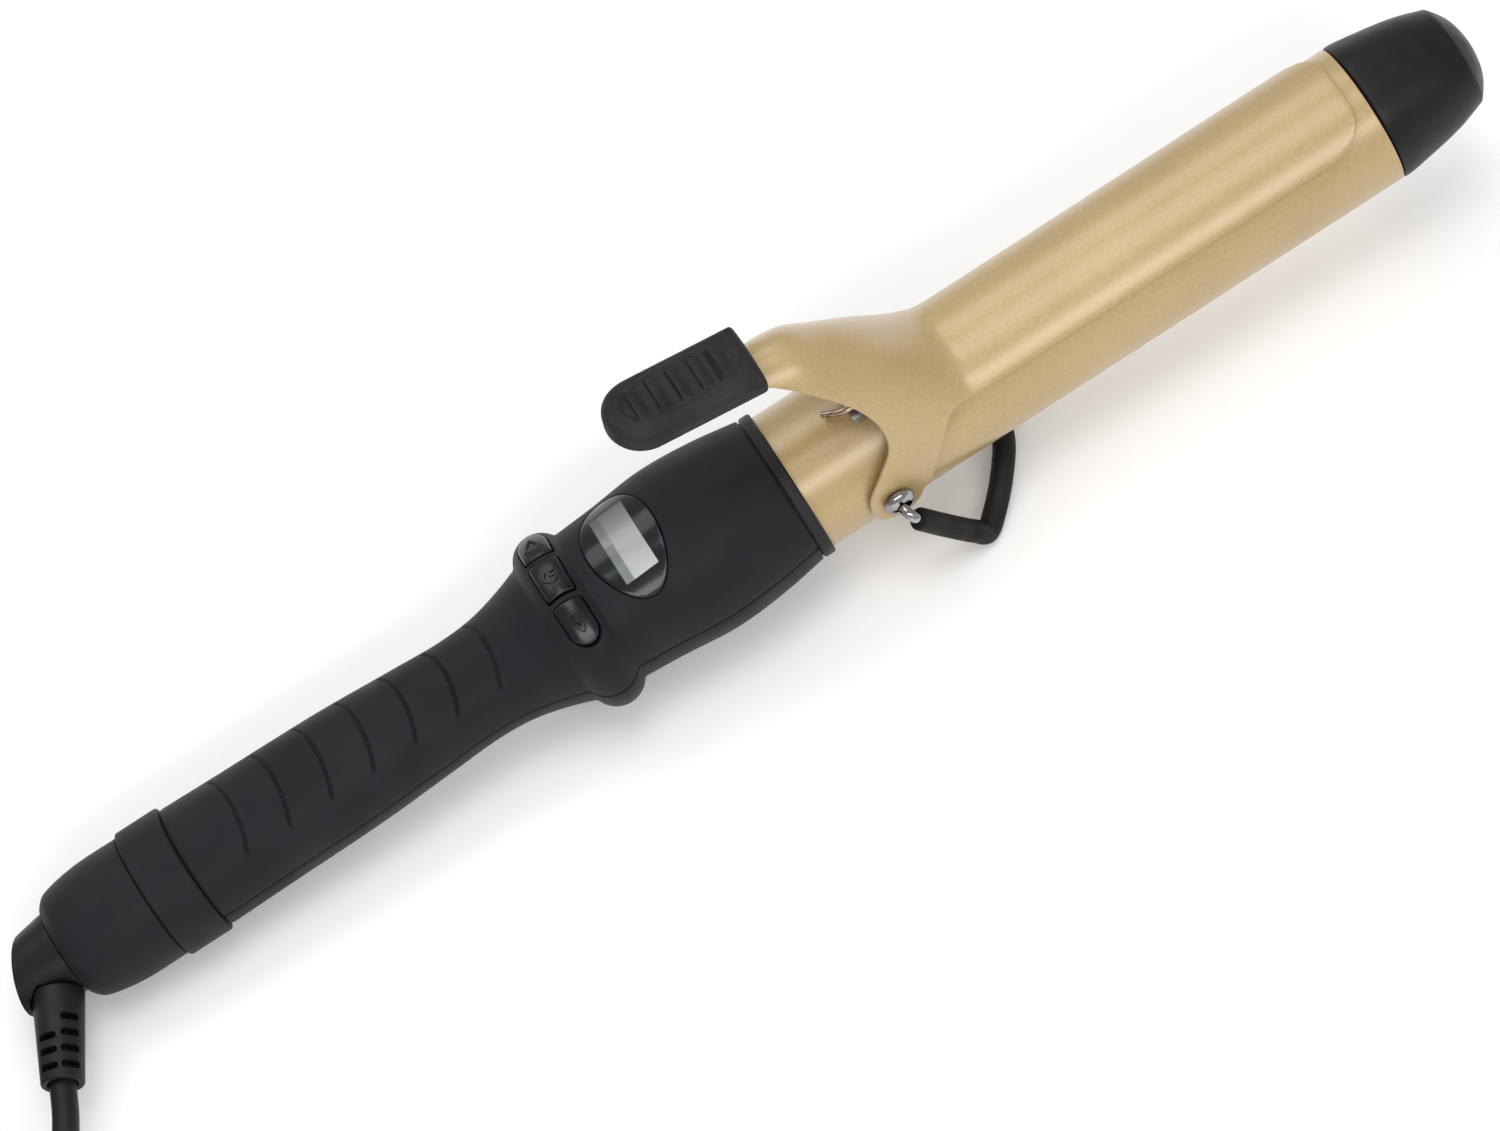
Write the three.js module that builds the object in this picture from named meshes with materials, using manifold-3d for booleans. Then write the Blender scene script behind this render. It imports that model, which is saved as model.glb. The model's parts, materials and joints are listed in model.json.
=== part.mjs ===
// A clamp curling iron: a round heated barrel with a sprung clamp, a two-part moulded handle with three
// buttons and a small display, a wire stand, and a swivelling mains cord that is stored in a coil.
//
// Millimetres. The iron is modelled along +X (tip forward, barrel axis on X, clamp above, +Z up), with
// x = 0 at the front of the handle. The whole iron is then tilted so that it rests on its stand and its
// tail band.
import * as THREE from 'three';
import { mergeVertices } from 'three/addons/utils/BufferGeometryUtils.js';
import { LoftGeometry } from 'three/addons/geometries/LoftGeometry.js';
import Module from 'manifold-3d';

const wasm = await Module();
wasm.setup();

// ---------------------------------------------------------------------------------------------------------
// Driving dimensions
// ---------------------------------------------------------------------------------------------------------
const GAP = 0.3; // clearance between neighbouring pieces

const barrel = { radius: 15.875, wall: 1.475, back: -12, front: 142.9 }; // a 1.25 inch tube
const tipEnd = 169.5;

const neck = { radius: 12.2, inner: 10.6, back: -172, front: -147.9 }; // rear spigot of the handle
const ridge = { x: -52.3, base: 14.4, radius: 6.1 }; // half-round bar that carries the buttons
const band = { back: -158.4, front: -148.2, radius: 15 };
const capBack = -180;

const pivot = { x: 17.2, hole: 2.3, shank: 2, head: 3.4, headFace: 17.75 };
const clamp = { radius: 17, earWidth: 17.4, sheet: 0.85, edgeDegrees: 50, front: 139.5 };
const lever = { back: -25, width: 15.6, thickness: 6, slope: 0.186 };

const wireRadius = 1.2;
const sleeveRadius = 2.5;
const foot = { x: 29.9, y: 22.2, z: -23.5 }; // centre of the sleeve at the stand's foot

const button = { x: -52, halfLength: 3.3, bottom: 10.3, proud: 0.45, spread: 9.4 };
const lens = { x: -35.6, halfLength: 8.35, halfWidth: 12.9, thickness: 1.8 };

const swivelAxis = new THREE.Vector3(-0.388, -0.922, 0).normalize(); // way that the cord leaves the elbow
const elbowCorner = new THREE.Vector3(-182.5, 0, 0);
const relief = { start: 8.2, end: 29.2, wide: 5.6, narrow: 4.6, bore: 3.2 };

const cordRadius = 2.85;
const coil = { x: -249, y: -10, middle: 34.2, pitch: 5.8, turnsPerLayer: 3.245, layers: 3, lift: 1 };

// The stand's feet and the back edge of the tail band touch the table, and are cut flat there by a hair.
const footRest = { x: foot.x, z: foot.z - sleeveRadius + 0.5 };
const bandRest = { x: band.back + 0.6, z: -band.radius + 0.15 };
const tilt = Math.atan((bandRest.z - footRest.z) / (footRest.x - bandRest.x));

// ---------------------------------------------------------------------------------------------------------
// Solids
// ---------------------------------------------------------------------------------------------------------

/** A closed solid from a geometry, with shared vertices, no slivers, and its faces pointing out. */
function solid(geometry) {
  const bare = new THREE.BufferGeometry();
  bare.setAttribute('position', geometry.attributes.position);
  bare.setIndex(geometry.index);
  const merged = mergeVertices(bare, 1e-4);
  const vertProperties = Float32Array.from(merged.attributes.position.array);
  const corner = (i) => new THREE.Vector3().fromArray(vertProperties, 3 * i);
  const faces = [];
  let volume = 0;
  for (let i = 0; i < merged.index.count; i += 3) {
    const [a, b, c] = merged.index.array.slice(i, i + 3);
    if (a === b || b === c || c === a) continue;
    faces.push([a, b, c]);
    volume += corner(a).dot(corner(b).cross(corner(c)));
  }
  const outward = volume > 0 ? faces : faces.map(([a, b, c]) => [a, c, b]);
  const triVerts = Uint32Array.from(outward.flat());
  return new wasm.Manifold(new wasm.Mesh({ numProp: 3, vertProperties, triVerts }));
}

/** The first solid with the others joined on. */
const join = (first, ...others) => others.reduce((whole, other) => whole.add(other), first);

/** The first solid with the others cut away. */
const cut = (first, ...others) => others.reduce((whole, other) => whole.subtract(other), first);

/** Body of revolution about X. The outline is [x, radius] pairs, closed on itself or on the axis. */
function turned(outline, segments = 24) {
  const points = outline.map(([x, r]) => new THREE.Vector2(r, x));
  return solid(new THREE.LatheGeometry(points, segments).rotateZ(-Math.PI / 2));
}

/** Hollow body of revolution about X between two outlines, both given from back to front. */
function shell(outer, inner, segments) {
  return turned([...outer, ...inner.slice().reverse(), outer[0]], segments);
}

/** Solid body of revolution about X under an outline given from back to front. */
function rod(outline, segments) {
  const first = [outline[0][0], 0];
  const last = [outline.at(-1)[0], 0];
  return turned([first, ...outline, last], segments);
}

/** Box between two corners. */
function box(x0, x1, y0, y1, z0, z1) {
  const shape = new THREE.BoxGeometry(x1 - x0, y1 - y0, z1 - z0);
  return solid(shape.translate((x0 + x1) / 2, (y0 + y1) / 2, (z0 + z1) / 2));
}

/** Cylinder of a radius between two points, or a cone when a second radius is given. */
function pin(from, to, radius, endRadius = radius, segments = 12) {
  const axis = new THREE.Vector3().subVectors(to, from);
  const shape = new THREE.CylinderGeometry(endRadius, radius, axis.length(), segments);
  const turn = new THREE.Quaternion();
  turn.setFromUnitVectors(new THREE.Vector3(0, 1, 0), axis.clone().normalize());
  const middle = new THREE.Vector3().addVectors(from, to).multiplyScalar(0.5);
  return solid(shape.applyQuaternion(turn).translate(middle.x, middle.y, middle.z));
}

/** Plan outline in x and y, raised from z0 to z1. */
function raised(shape, z0, z1, curveSegments = 10) {
  const options = { depth: z1 - z0, bevelEnabled: false, curveSegments };
  return solid(new THREE.ExtrudeGeometry(shape, options).translate(0, 0, z0));
}

/** Side outline in x and z, as wide as given, centred on y = 0. */
function side(shape, width, curveSegments = 10) {
  const options = { depth: width, bevelEnabled: false, curveSegments };
  const geometry = new THREE.ExtrudeGeometry(shape, options).rotateX(Math.PI / 2);
  return solid(geometry.translate(0, width / 2, 0));
}

const vector = ([x, y, z]) => new THREE.Vector3(x, y, z);
const flat = ([x, y]) => new THREE.Vector2(x, y);

/** Round tube along a smooth curve through points; a bore makes it hollow. */
function tube(points, radius, { steps = 10, sides = 6, bore = 0 } = {}) {
  const section = new THREE.Shape().absarc(0, 0, radius, 0, 2 * Math.PI);
  if (bore > 0) section.holes.push(new THREE.Path().absarc(0, 0, bore, 0, 2 * Math.PI, true));
  const extrudePath = new THREE.CatmullRomCurve3(points.map(vector), false, 'centripetal');
  return solid(new THREE.ExtrudeGeometry(section, { steps, extrudePath, curveSegments: sides / 2 }));
}

/** Smooth outline through [x, radius] pairs. */
function smooth(pairs, steps) {
  const curve = new THREE.SplineCurve(pairs.map(([x, r]) => new THREE.Vector2(x, r)));
  return curve.getPoints(steps).map((p) => [p.x, p.y]);
}

/** Arc of an outline, from one angle to another in degrees. */
function arc(x, r, radius, from, to, steps) {
  const [start, end] = [from, to].map(THREE.MathUtils.degToRad);
  const curve = new THREE.EllipseCurve(x, r, radius, radius, start, end, from > to);
  return curve.getPoints(steps).map((p) => [p.x, p.y]);
}

/** Ellipse in plan. */
function ellipse(x, y, halfLength, halfWidth) {
  return new THREE.Shape().absellipse(x, y, halfLength, halfWidth, 0, 2 * Math.PI);
}

/** The same points on the other side of the iron. */
const mirrored = (points) => points.map(([x, y, z]) => [x, -y, z]);

/** One solid on the near side (-1) or on the far side (+1), from one made on the far side. */
const onSide = (made, way) => (way > 0 ? made : made.mirror([0, 1, 0]));

// ---------------------------------------------------------------------------------------------------------
// The scene graph
// ---------------------------------------------------------------------------------------------------------
const model = new THREE.Group();
const iron = new THREE.Group();
iron.rotation.y = -tilt;
model.add(iron);

// Behind the elbow and ahead of the tip the iron reaches equally far from the origin.
const elbowBack = -194;
iron.position.x = (-(elbowBack + tipEnd) / 2) * Math.cos(tilt);
iron.position.z = -(bandRest.x * Math.sin(tilt) + bandRest.z * Math.cos(tilt));
iron.updateMatrixWorld(true);

/** A plain material from its colour, roughness and metalness. */
function finish(color, roughness, metalness) {
  return new THREE.MeshStandardMaterial({ color, roughness, metalness });
}

const material = {
  softTouch: finish(0x2c2a2d, 0.75, 0),
  glossBlack: finish(0x101012, 0.25, 0),
  satinBlack: finish(0x1b1b1c, 0.45, 0),
  rubber: finish(0x232325, 0.8, 0),
  goldPaint: finish(0xc9ac7c, 0.38, 0.35),
  chrome: finish(0xd8d8da, 0.12, 1),
  steel: finish(0x9c9a98, 0.35, 1),
  copper: finish(0x9a6a4c, 0.35, 1),
  brass: finish(0xc9a85a, 0.3, 1),
  aluminium: finish(0xb8babd, 0.4, 1),
  ceramic: finish(0xe6e2d8, 0.6, 0),
  phenolic: finish(0x4a3a2c, 0.7, 0),
  board: finish(0x2f6b3c, 0.5, 0),
  component: finish(0x26262a, 0.5, 0),
  film: finish(0xb8862e, 0.5, 0),
  display: finish(0xb4bab8, 0.2, 0),
  lead: finish(0xd8d4cc, 0.6, 0),
  cord: finish(0x1a1a1b, 0.55, 0),
};

/** Adds one solid to the iron, or to another group, as a named mesh. */
function add(name, made, look, parent = iron) {
  const { vertProperties, triVerts } = made.getMesh();
  const geometry = new THREE.BufferGeometry();
  geometry.setAttribute('position', new THREE.Float32BufferAttribute(vertProperties, 3));
  geometry.setIndex(Array.from(triVerts));
  geometry.computeVertexNormals();
  const mesh = new THREE.Mesh(geometry, look);
  mesh.name = name;
  parent.add(mesh);
}

/** Everything below the table, as a solid in the tilted iron's own frame. */
function belowTable() {
  const slab = new THREE.BoxGeometry(900, 300, 60).translate(0, 0, -30);
  return solid(slab.applyMatrix4(iron.matrixWorld.clone().invert()));
}

// ---------------------------------------------------------------------------------------------------------
// Handle: two shells that meet on the plane z = 0
// ---------------------------------------------------------------------------------------------------------

/** The handle's outer outline from the tail to the collar: neck, waisted grip, ridge, head. */
function handleOutline() {
  return [
    [neck.back, neck.radius],
    [neck.front, neck.radius],
    ...smooth([[neck.front, 14.05], [-134, 13.8], [-109, 13.4], [-92, 12.5], [-79.5, 11.9]], 5),
    ...smooth([[-79.5, 11.9], [-71, 12.5], [-63, 14.5], [-58.1, 16.3]], 4).slice(1),
    ...arc(ridge.x, ridge.base, ridge.radius, 162, 31, 6),
    ...smooth([[-47, 17.6], [-38, 18.2], [-25, 19.45], [-12.5, 18.6], [-2.2, 17]], 6),
  ];
}

const handleInside = [
  [neck.back, neck.inner],
  [-149.5, neck.inner],
  [-147, 11.9],
  [-109, 11.4],
  [-92, 10.5],
  [-79.5, 10],
  [-66, 11.4],
  [-58, 14.2],
  [-44, 15.5],
  [-27, 17.1],
  [-12.7, 17],
  [-12.7, 16.2],
  [-2.2, 16.2],
];

const handleShell = shell(handleOutline(), handleInside, 30);
const screwPlaces = [
  { x: -21, inside: 17, boss: 3.6 },
  { x: -76, inside: 10, boss: 3.2 },
  { x: -135, inside: 11.6, boss: 3.2 },
];
const screw = { shank: 1.3, pilot: 1.6, head: 2.6, recess: 2.9, seat: -6.3, headDepth: 2, top: 6 };

/** Plan of one button: square in the middle, a rounded outer end at the sides. */
function buttonPlan(way, grow) {
  const half = button.halfLength + grow;
  const plan = new THREE.Shape();
  if (way === 0) {
    const reach = 4.7 + grow;
    plan.moveTo(button.x - half, -reach).lineTo(button.x + half, -reach);
    plan.lineTo(button.x + half, reach).lineTo(button.x - half, reach);
    return plan;
  }
  const inner = way * (6.4 - grow);
  const shoulder = way * 11.4;
  plan.moveTo(button.x - half, inner).lineTo(button.x - half, shoulder);
  plan.absellipse(button.x, shoulder, half, 3.8 + grow, Math.PI, 0, way > 0);
  plan.lineTo(button.x + half, inner);
  return plan;
}

function housingTop() {
  const half = handleShell.intersect(box(-200, 20, -40, 40, GAP / 2, 40));
  const bosses = screwPlaces.map(({ x, inside }) =>
    pin(vector([x, 0, GAP / 2]), vector([x, 0, inside + 1]), 2.9),
  );
  const pilots = screwPlaces.map(({ x }) =>
    pin(vector([x, 0, 0]), vector([x, 0, screw.top + 1]), screw.pilot),
  );
  const openings = [-1, 0, 1].map((way) => raised(buttonPlan(way, GAP), button.bottom - 1.1, 30));
  const window = raised(ellipse(lens.x, 0, lens.halfLength + GAP, lens.halfWidth + GAP), 5, 30, 12);
  return cut(join(half, ...bosses), ...pilots, ...openings, window);
}

function housingBottom() {
  const half = handleShell.intersect(box(-200, 20, -40, 40, -40, -GAP / 2));
  const bosses = screwPlaces.map(({ x, inside, boss }) =>
    pin(vector([x, 0, -GAP / 2]), vector([x, 0, -inside - 1]), boss),
  );
  const posts = [[-29, 10.5, 13.5], [-60, 7, 10.5]].flatMap(([x, y, depth]) =>
    [y, -y].map((at) => pin(vector([x, at, 2.7]), vector([x, at, -depth]), 1.5)),
  );
  const holes = screwPlaces.flatMap(({ x }) => [
    pin(vector([x, 0, 0]), vector([x, 0, -30]), screw.pilot),
    pin(vector([x, 0, screw.seat]), vector([x, 0, -30]), screw.recess),
  ]);
  return cut(join(half, ...bosses, ...posts), ...holes);
}

function caseScrew({ x }) {
  const seat = screw.seat - GAP;
  const head = pin(vector([x, 0, seat - screw.headDepth]), vector([x, 0, seat]), screw.head);
  return join(head, pin(vector([x, 0, screw.seat - 1]), vector([x, 0, screw.top]), screw.shank));
}

add('housing_top', housingTop(), material.softTouch);
add('housing_bottom', housingBottom(), material.softTouch);
screwPlaces.forEach((place, i) => add(`case_screw_${i + 1}`, caseScrew(place), material.steel));

const collar = shell([[-1.9, 16.7], [-1.4, 17], [0.4, 17], [0.84, 16.7]], [[-1.9, 16.2], [0.84, 16.2]]);
add('front_collar', collar, material.satinBlack);

// ---------------------------------------------------------------------------------------------------------
// Buttons, display and electronics
// ---------------------------------------------------------------------------------------------------------
const buttonNames = { '-1': 'down', 0: 'power', 1: 'up' };

/** Cap that follows the ridge's round back and stands a little proud of it. */
function buttonCap(way) {
  const face = rod(arc(ridge.x, ridge.base, ridge.radius + button.proud, 170, 10, 8), 32);
  if (way !== 0) return face.intersect(raised(buttonPlan(way, 0), button.bottom, 30));
  const cap = face.intersect(raised(buttonPlan(way, 0), 13, 30));
  const flange = box(button.x - 4.4, button.x + 4.4, -5.6, 5.6, 12, 13.2);
  return join(cap, flange, pin(vector([button.x, 0, button.bottom]), vector([button.x, 0, 12.5]), 1.2));
}

/** Push switch on the board, with its round plunger. */
function pushSwitch(way) {
  const y = way * button.spread;
  const body = box(button.x - 2.3, button.x + 2.3, y - 2.3, y + 2.3, 4.9, 8.3);
  return join(body, pin(vector([button.x, y, 8]), vector([button.x, y, button.bottom - 1]), 1.6));
}

for (const way of [-1, 0, 1]) {
  add(`button_${buttonNames[way]}`, buttonCap(way), material.glossBlack);
  add(`switch_${buttonNames[way]}`, pushSwitch(way), material.component);
}

function displayLens() {
  const outer = handleOutline().filter(([x]) => x > -47.5);
  const skin = shell(outer, outer.map(([x, r]) => [x, r - lens.thickness]), 48);
  return skin.intersect(raised(ellipse(lens.x, 0, lens.halfLength, lens.halfWidth), 5, 30, 12));
}

function circuitBoard() {
  const plan = new THREE.Shape();
  plan.moveTo(-66, -9).lineTo(-57.5, -9).lineTo(-57.5, -13).lineTo(-26, -13);
  plan.lineTo(-26, 13).lineTo(-57.5, 13).lineTo(-57.5, 9).lineTo(-66, 9);
  return raised(plan, 3, 4.6);
}

add('display_lens', displayLens(), material.glossBlack);
add('display_module', box(-41.2, -30, -10, 10, 4.9, 12.3), material.display);
add('circuit_board', circuitBoard(), material.board);
add('triac', box(-44, -34, -11, -5, -3, 2.7), material.component);
add('film_capacitor', box(-44, -32, 2, 8.5, -8, 2.7), material.film);

for (const [name, y] of [['lead_live', 5], ['lead_neutral', -5]]) {
  const start = name === 'lead_live' ? [-154.7, 0, 7.1] : [-154.7, 0, 0];
  const route = [start, [-146, y * 0.6, 5], [-138, y, 3.8], [-76, y, 3.8], [-66.4, y, 3.8]];
  add(name, tube(route, 0.8), material.lead);
}

// ---------------------------------------------------------------------------------------------------------
// Barrel, heater and tip
// ---------------------------------------------------------------------------------------------------------
const barrelInside = barrel.radius - barrel.wall;

function barrelTube() {
  const tubeSolid = shell(
    [[barrel.back, barrel.radius], [barrel.front, barrel.radius]],
    [[barrel.back, barrelInside], [barrel.front, barrelInside]],
    40,
  );
  return cut(tubeSolid, pin(vector([pivot.x, -20, 0]), vector([pivot.x, 20, 0]), pivot.hole));
}

/** Heat-proof holder that carries the barrel in the handle: a flange behind, a spigot in the tube. */
function barrelHolder() {
  const spigot = barrelInside - GAP;
  const outside = [[-17, 16.7], [-13, 16.7], [-12.4, spigot], [4, spigot]];
  return shell(outside, [[-17, 9], [4, 9]]);
}

/** Half-round aluminium profile that presses the heater plate's heat into the tube. */
function heatSpreader(way) {
  const outer = barrelInside - GAP;
  const ring = shell([[28, outer], [132, outer]], [[28, 11], [132, 11]]);
  const web = box(28, 132, -6, 6, 1.05, 11.3);
  const upper = join(ring.intersect(box(20, 140, -20, 20, 1.05, 20)), web);
  return way > 0 ? upper : upper.mirror([0, 0, 1]);
}

/** Cool tip: a barrel-shaped cap with a domed end, hollow, with a spigot in the tube. */
function tipCap() {
  const spigot = barrelInside - GAP;
  const front = barrel.front + GAP;
  const outside = [
    [133, spigot],
    [front, spigot],
    ...smooth([[front, 15.9], [150.6, 15.1], [159, 13.5], [165.2, 11.5]], 6),
    ...smooth([[165.9, 10.9], [167.8, 8], [tipEnd, 0]], 4),
  ];
  const inside = [[133, 12.2], [150, 12.2], [162, 10], [166, 5], [166.6, 0]];
  return turned([...outside, ...inside.reverse(), outside[0]]);
}

add('barrel', barrelTube(), material.goldPaint);
add('barrel_holder', barrelHolder(), material.phenolic);
add('tip_cap', tipCap(), material.satinBlack);
add('tip_spacer', rod([[132.3, 11.9], [132.7, 11.9]]), material.ceramic);
add('heater_plate', box(30, 130, -5.7, 5.7, -0.75, 0.75), material.ceramic);
add('heat_spreader_top', heatSpreader(1), material.aluminium);
add('heat_spreader_bottom', heatSpreader(-1), material.aluminium);
add('thermistor', pin(vector([60, 7.8, 4.2]), vector([66, 7.8, 4.2]), 1.2), material.ceramic);
add('thermal_fuse', pin(vector([5, 0, -8]), vector([19, 0, -8]), 2.2), material.steel);

for (const [name, way] of [['heater_lead_near', -1], ['heater_lead_far', 1]]) {
  const route = [[-25.6, 6, 3.8], [-15, 6, 2.4], [5, 5.5, 0.4], [24, 3, 0], [29.7, 3, 0]];
  add(name, tube(way > 0 ? route : mirrored(route), 0.8), material.lead);
}
const sensorRoute = [[-25.6, 9.5, 3.8], [-15, 7.2, 3.4], [4, 7, 3.4], [30, 7.8, 4.2], [59.7, 7.8, 4.2]];
add('sensor_lead', tube(sensorRoute, 0.6), material.lead);

// ---------------------------------------------------------------------------------------------------------
// Clamp: one sheet, an open channel that grows from a barrel-hugging blade into a saddle with two ears and
// runs back as the lever
// ---------------------------------------------------------------------------------------------------------

/** Height of the sheet's crown along the iron: lever, bend, slope, crease, blade. */
const crownPoints = [
  [-60, 61.4], [-10, 52.1], [8, 48.7], [15, 46.7], [20, 41.9],
  [28.5, 32.9], [37, 21.9], [41.5, 17.7], [46, 17],
];
const crownLine = smooth(crownPoints, 64);

function crownHeight(x) {
  const after = crownLine.findIndex(([at]) => at > x);
  if (after < 0) return clamp.radius;
  const [x0, z0] = crownLine[after - 1];
  const [x1, z1] = crownLine[after];
  return THREE.MathUtils.mapLinear(x, x0, x1, z0, z1);
}

/** Half the sheet's width along the iron: a little wider at the ears than on the blade. */
function halfWidth(x) {
  return THREE.MathUtils.lerp(clamp.earWidth, clamp.radius, THREE.MathUtils.smoothstep(x, 28, 44));
}

/** One section of the channel: half an ellipse over straight flanks, inset by a distance. */
function channelSection(x, inset) {
  const wide = halfWidth(x) - inset;
  const high = crownHeight(x) - inset;
  const points = [new THREE.Vector3(x, wide, -12)];
  const steps = 16;
  for (let i = 0; i <= steps; i += 1) {
    const angle = (Math.PI * i) / steps;
    points.push(new THREE.Vector3(x, wide * Math.cos(angle), high * Math.sin(angle)));
  }
  points.push(new THREE.Vector3(x, -wide, -12));
  return points;
}

function channel(inset, margin) {
  const stations = [4, 10, 13, 15, 18, 28, 35, 38, 40, 42, 44, 47];
  const places = [lever.back - 3 - margin, ...stations, clamp.front + margin];
  const sections = places.map((x) => channelSection(x, inset));
  return solid(new LoftGeometry(sections, { capStart: true, capEnd: true }));
}

/** Side outline of what stays of the channel, grown by a distance along the lever. */
function clampSide(grow = 0) {
  const edge = clamp.radius * Math.cos((clamp.edgeDegrees * Math.PI) / 180);
  const leverEdge = (x) => crownHeight(x) - 2.5 - grow;
  const outline = new THREE.Shape();
  outline.moveTo(clamp.front, edge).lineTo(47, edge);
  outline.splineThru([[42, edge + 0.3], [36, 12.6], [31, 8], [26, 0]].map(flat));
  outline.absarc(pivot.x, 0, 6.2, -0.5, -Math.PI, true);
  const arch = [[12, 4.5], [16.5, 10.5], [20.7, 16], [21.6, 22], [20, 28.5], [16.3, 35.5], [10.5, 42.6]];
  outline.splineThru([...arch, [5, leverEdge(5)]].map(flat));
  outline.lineTo(lever.back - grow, leverEdge(lever.back));
  outline.lineTo(lever.back - grow, 75).lineTo(clamp.front, 75);
  return outline;
}

/** Plan outline of the blade, with its round front corners. */
function clampPlan() {
  const wide = 19;
  const corner = 9;
  const plan = new THREE.Shape();
  plan.moveTo(lever.back - 5, -wide).lineTo(60, -wide).lineTo(64, -13.4).lineTo(clamp.front - corner, -13.4);
  plan.quadraticCurveTo(clamp.front, -13.4, clamp.front, -4).lineTo(clamp.front, 4);
  plan.quadraticCurveTo(clamp.front, 13.4, clamp.front - corner, 13.4);
  plan.lineTo(64, 13.4).lineTo(60, wide).lineTo(lever.back - 5, wide);
  return plan;
}

/** The sheet itself, or the sheet grown by a distance on all its faces, for the pocket that holds it. */
function clampSheet(grow = 0) {
  const sheet = cut(channel(-grow, 0), channel(clamp.sheet + grow, 2));
  return sheet.intersect(side(clampSide(grow), 60, 4));
}

function clampPlate() {
  const blade = clampSheet().intersect(raised(clampPlan(), -20, 80));
  return cut(blade, pin(vector([pivot.x, -20, 0]), vector([pivot.x, 20, 0]), pivot.hole));
}

/** Rubber rest that slips over the lever: a round-ended pad with cross ribs on top. */
function thumbRest() {
  const half = lever.width / 2;
  const bevel = 1.4;
  const length = 32.6;
  const pad = new THREE.Shape();
  pad.moveTo(0, -half + bevel).lineTo(0, half - bevel).lineTo(-length + half, half - bevel);
  pad.absarc(-length + half, 0, half - bevel, Math.PI / 2, 1.5 * Math.PI, false);
  const options = {
    depth: lever.thickness - 2 * bevel,
    bevelThickness: bevel,
    bevelSize: bevel,
    bevelSegments: 2,
    curveSegments: 9,
  };
  const slope = new THREE.Matrix4().makeRotationY(Math.atan(lever.slope));
  const place = new THREE.Matrix4().makeTranslation(6.2 - bevel, 0, 47).multiply(slope);
  const body = new THREE.ExtrudeGeometry(pad, options).translate(0, 0, bevel).applyMatrix4(place);
  const ribs = [-26, -21.2, -16.4, -11.6, -6.8].map((x) => {
    const rib = new THREE.BoxGeometry(1.9, 9.4, 1.4).translate(x, 0, lever.thickness);
    return solid(rib.applyMatrix4(place));
  });
  return cut(join(solid(body), ...ribs), clampSheet(GAP));
}

add('clamp_plate', clampPlate(), material.goldPaint);
add('thumb_rest', thumbRest(), material.rubber);

// ---------------------------------------------------------------------------------------------------------
// Pivot screws, stand and clamp spring
// ---------------------------------------------------------------------------------------------------------

/** Dome-headed screw through the ear and the tube's wall. A socket in the head takes the stand's wire. */
function pivotScrew() {
  const face = pivot.headFace;
  const outline = [
    [0, 10.6], [pivot.shank, 10.6], [pivot.shank, face], [pivot.head, face], [3.2, face + 0.9],
    [2.4, face + 1.7], [1.5, face + 2], [1.5, face + 0.4], [0, face + 0.4],
  ];
  const points = outline.map(([r, y]) => new THREE.Vector2(r, y));
  return solid(new THREE.LatheGeometry(points, 14).translate(pivot.x, 0, 0));
}

/** Round nut inside the tube. */
function pivotNut() {
  const outer = pin(vector([pivot.x, 10.7, 0]), vector([pivot.x, 13.6, 0]), 3.6);
  return cut(outer, pin(vector([pivot.x, 9, 0]), vector([pivot.x, 15, 0]), pivot.hole));
}

for (const [name, way] of [['near', -1], ['far', 1]]) {
  add(`pivot_screw_${name}`, onSide(pivotScrew(), way), material.chrome);
  add(`pivot_nut_${name}`, onSide(pivotNut(), way), material.steel);
}

const wireStart = [[pivot.x, 18.6, 0], [pivot.x, 20.9, -0.1], [18.2, 22.5, -1.8]];
const sleeveHalf = [
  [19, 22.6, -3.3], [23, 22.6, -11.3], [27.6, 22.7, -19.6], [foot.x, foot.y, foot.z], [33.6, 19.3, -22.9],
  [39, 14.2, -20.6], [43.7, 7.5, -19.1],
];
const sleeveRoute = [...mirrored(sleeveHalf), [45.2, 0, -18.8], ...sleeveHalf.slice().reverse()];
const wireRoute = [...mirrored(wireStart), ...sleeveRoute, ...wireStart.slice().reverse()];

add('stand_wire', tube(wireRoute, wireRadius, { steps: 48, sides: 6 }), material.chrome);
const sleeve = tube(sleeveRoute, sleeveRadius, { steps: 36, sides: 10, bore: wireRadius + 0.45 });
add('stand_sleeve', cut(sleeve, belowTable()), material.rubber);

/** Bracket on the barrel that carries the spring's coil on a cross pin. */
const springAxis = { x: 22.5, z: 21.2 };

function springBracket() {
  const base = box(18, 27, -6.5, 6.5, 16.2, 17.1);
  const ears = [-1, 1].map((way) => onSide(box(20.5, 24.5, 5.7, 6.5, 17, 22.6), way));
  const { x, z } = springAxis;
  return join(base, ...ears, pin(vector([x, -6, z]), vector([x, 6, z]), 1.2));
}

/** Wound wire with one leg on the barrel and one under the lever. */
function clampSpring() {
  const turns = 4.25;
  const steps = 12;
  const wound = [];
  for (let i = 0; i <= turns * steps; i += 1) {
    const angle = -Math.PI / 2 + (2 * Math.PI * i) / steps;
    const y = -4 + (8 * i) / (turns * steps);
    wound.push([springAxis.x + 2.6 * Math.cos(angle), y, springAxis.z + 2.6 * Math.sin(angle)]);
  }
  const fixedLeg = [[13.2, -0.6, 17.2], [17.2, -3.2, 18.1]];
  const leverLeg = [[24.2, 3.6, 26], [19.5, 2.4, 35], [15.5, 1.5, 42.6]];
  return tube([...fixedLeg, ...wound, ...leverLeg], 0.7, { steps: 60, sides: 6 });
}

add('spring_bracket', springBracket(), material.steel);
add('clamp_spring', clampSpring(), material.copper);

// ---------------------------------------------------------------------------------------------------------
// Tail: band, cap, swivel and strain relief
// ---------------------------------------------------------------------------------------------------------
const tailInside = neck.radius + GAP;

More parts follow.
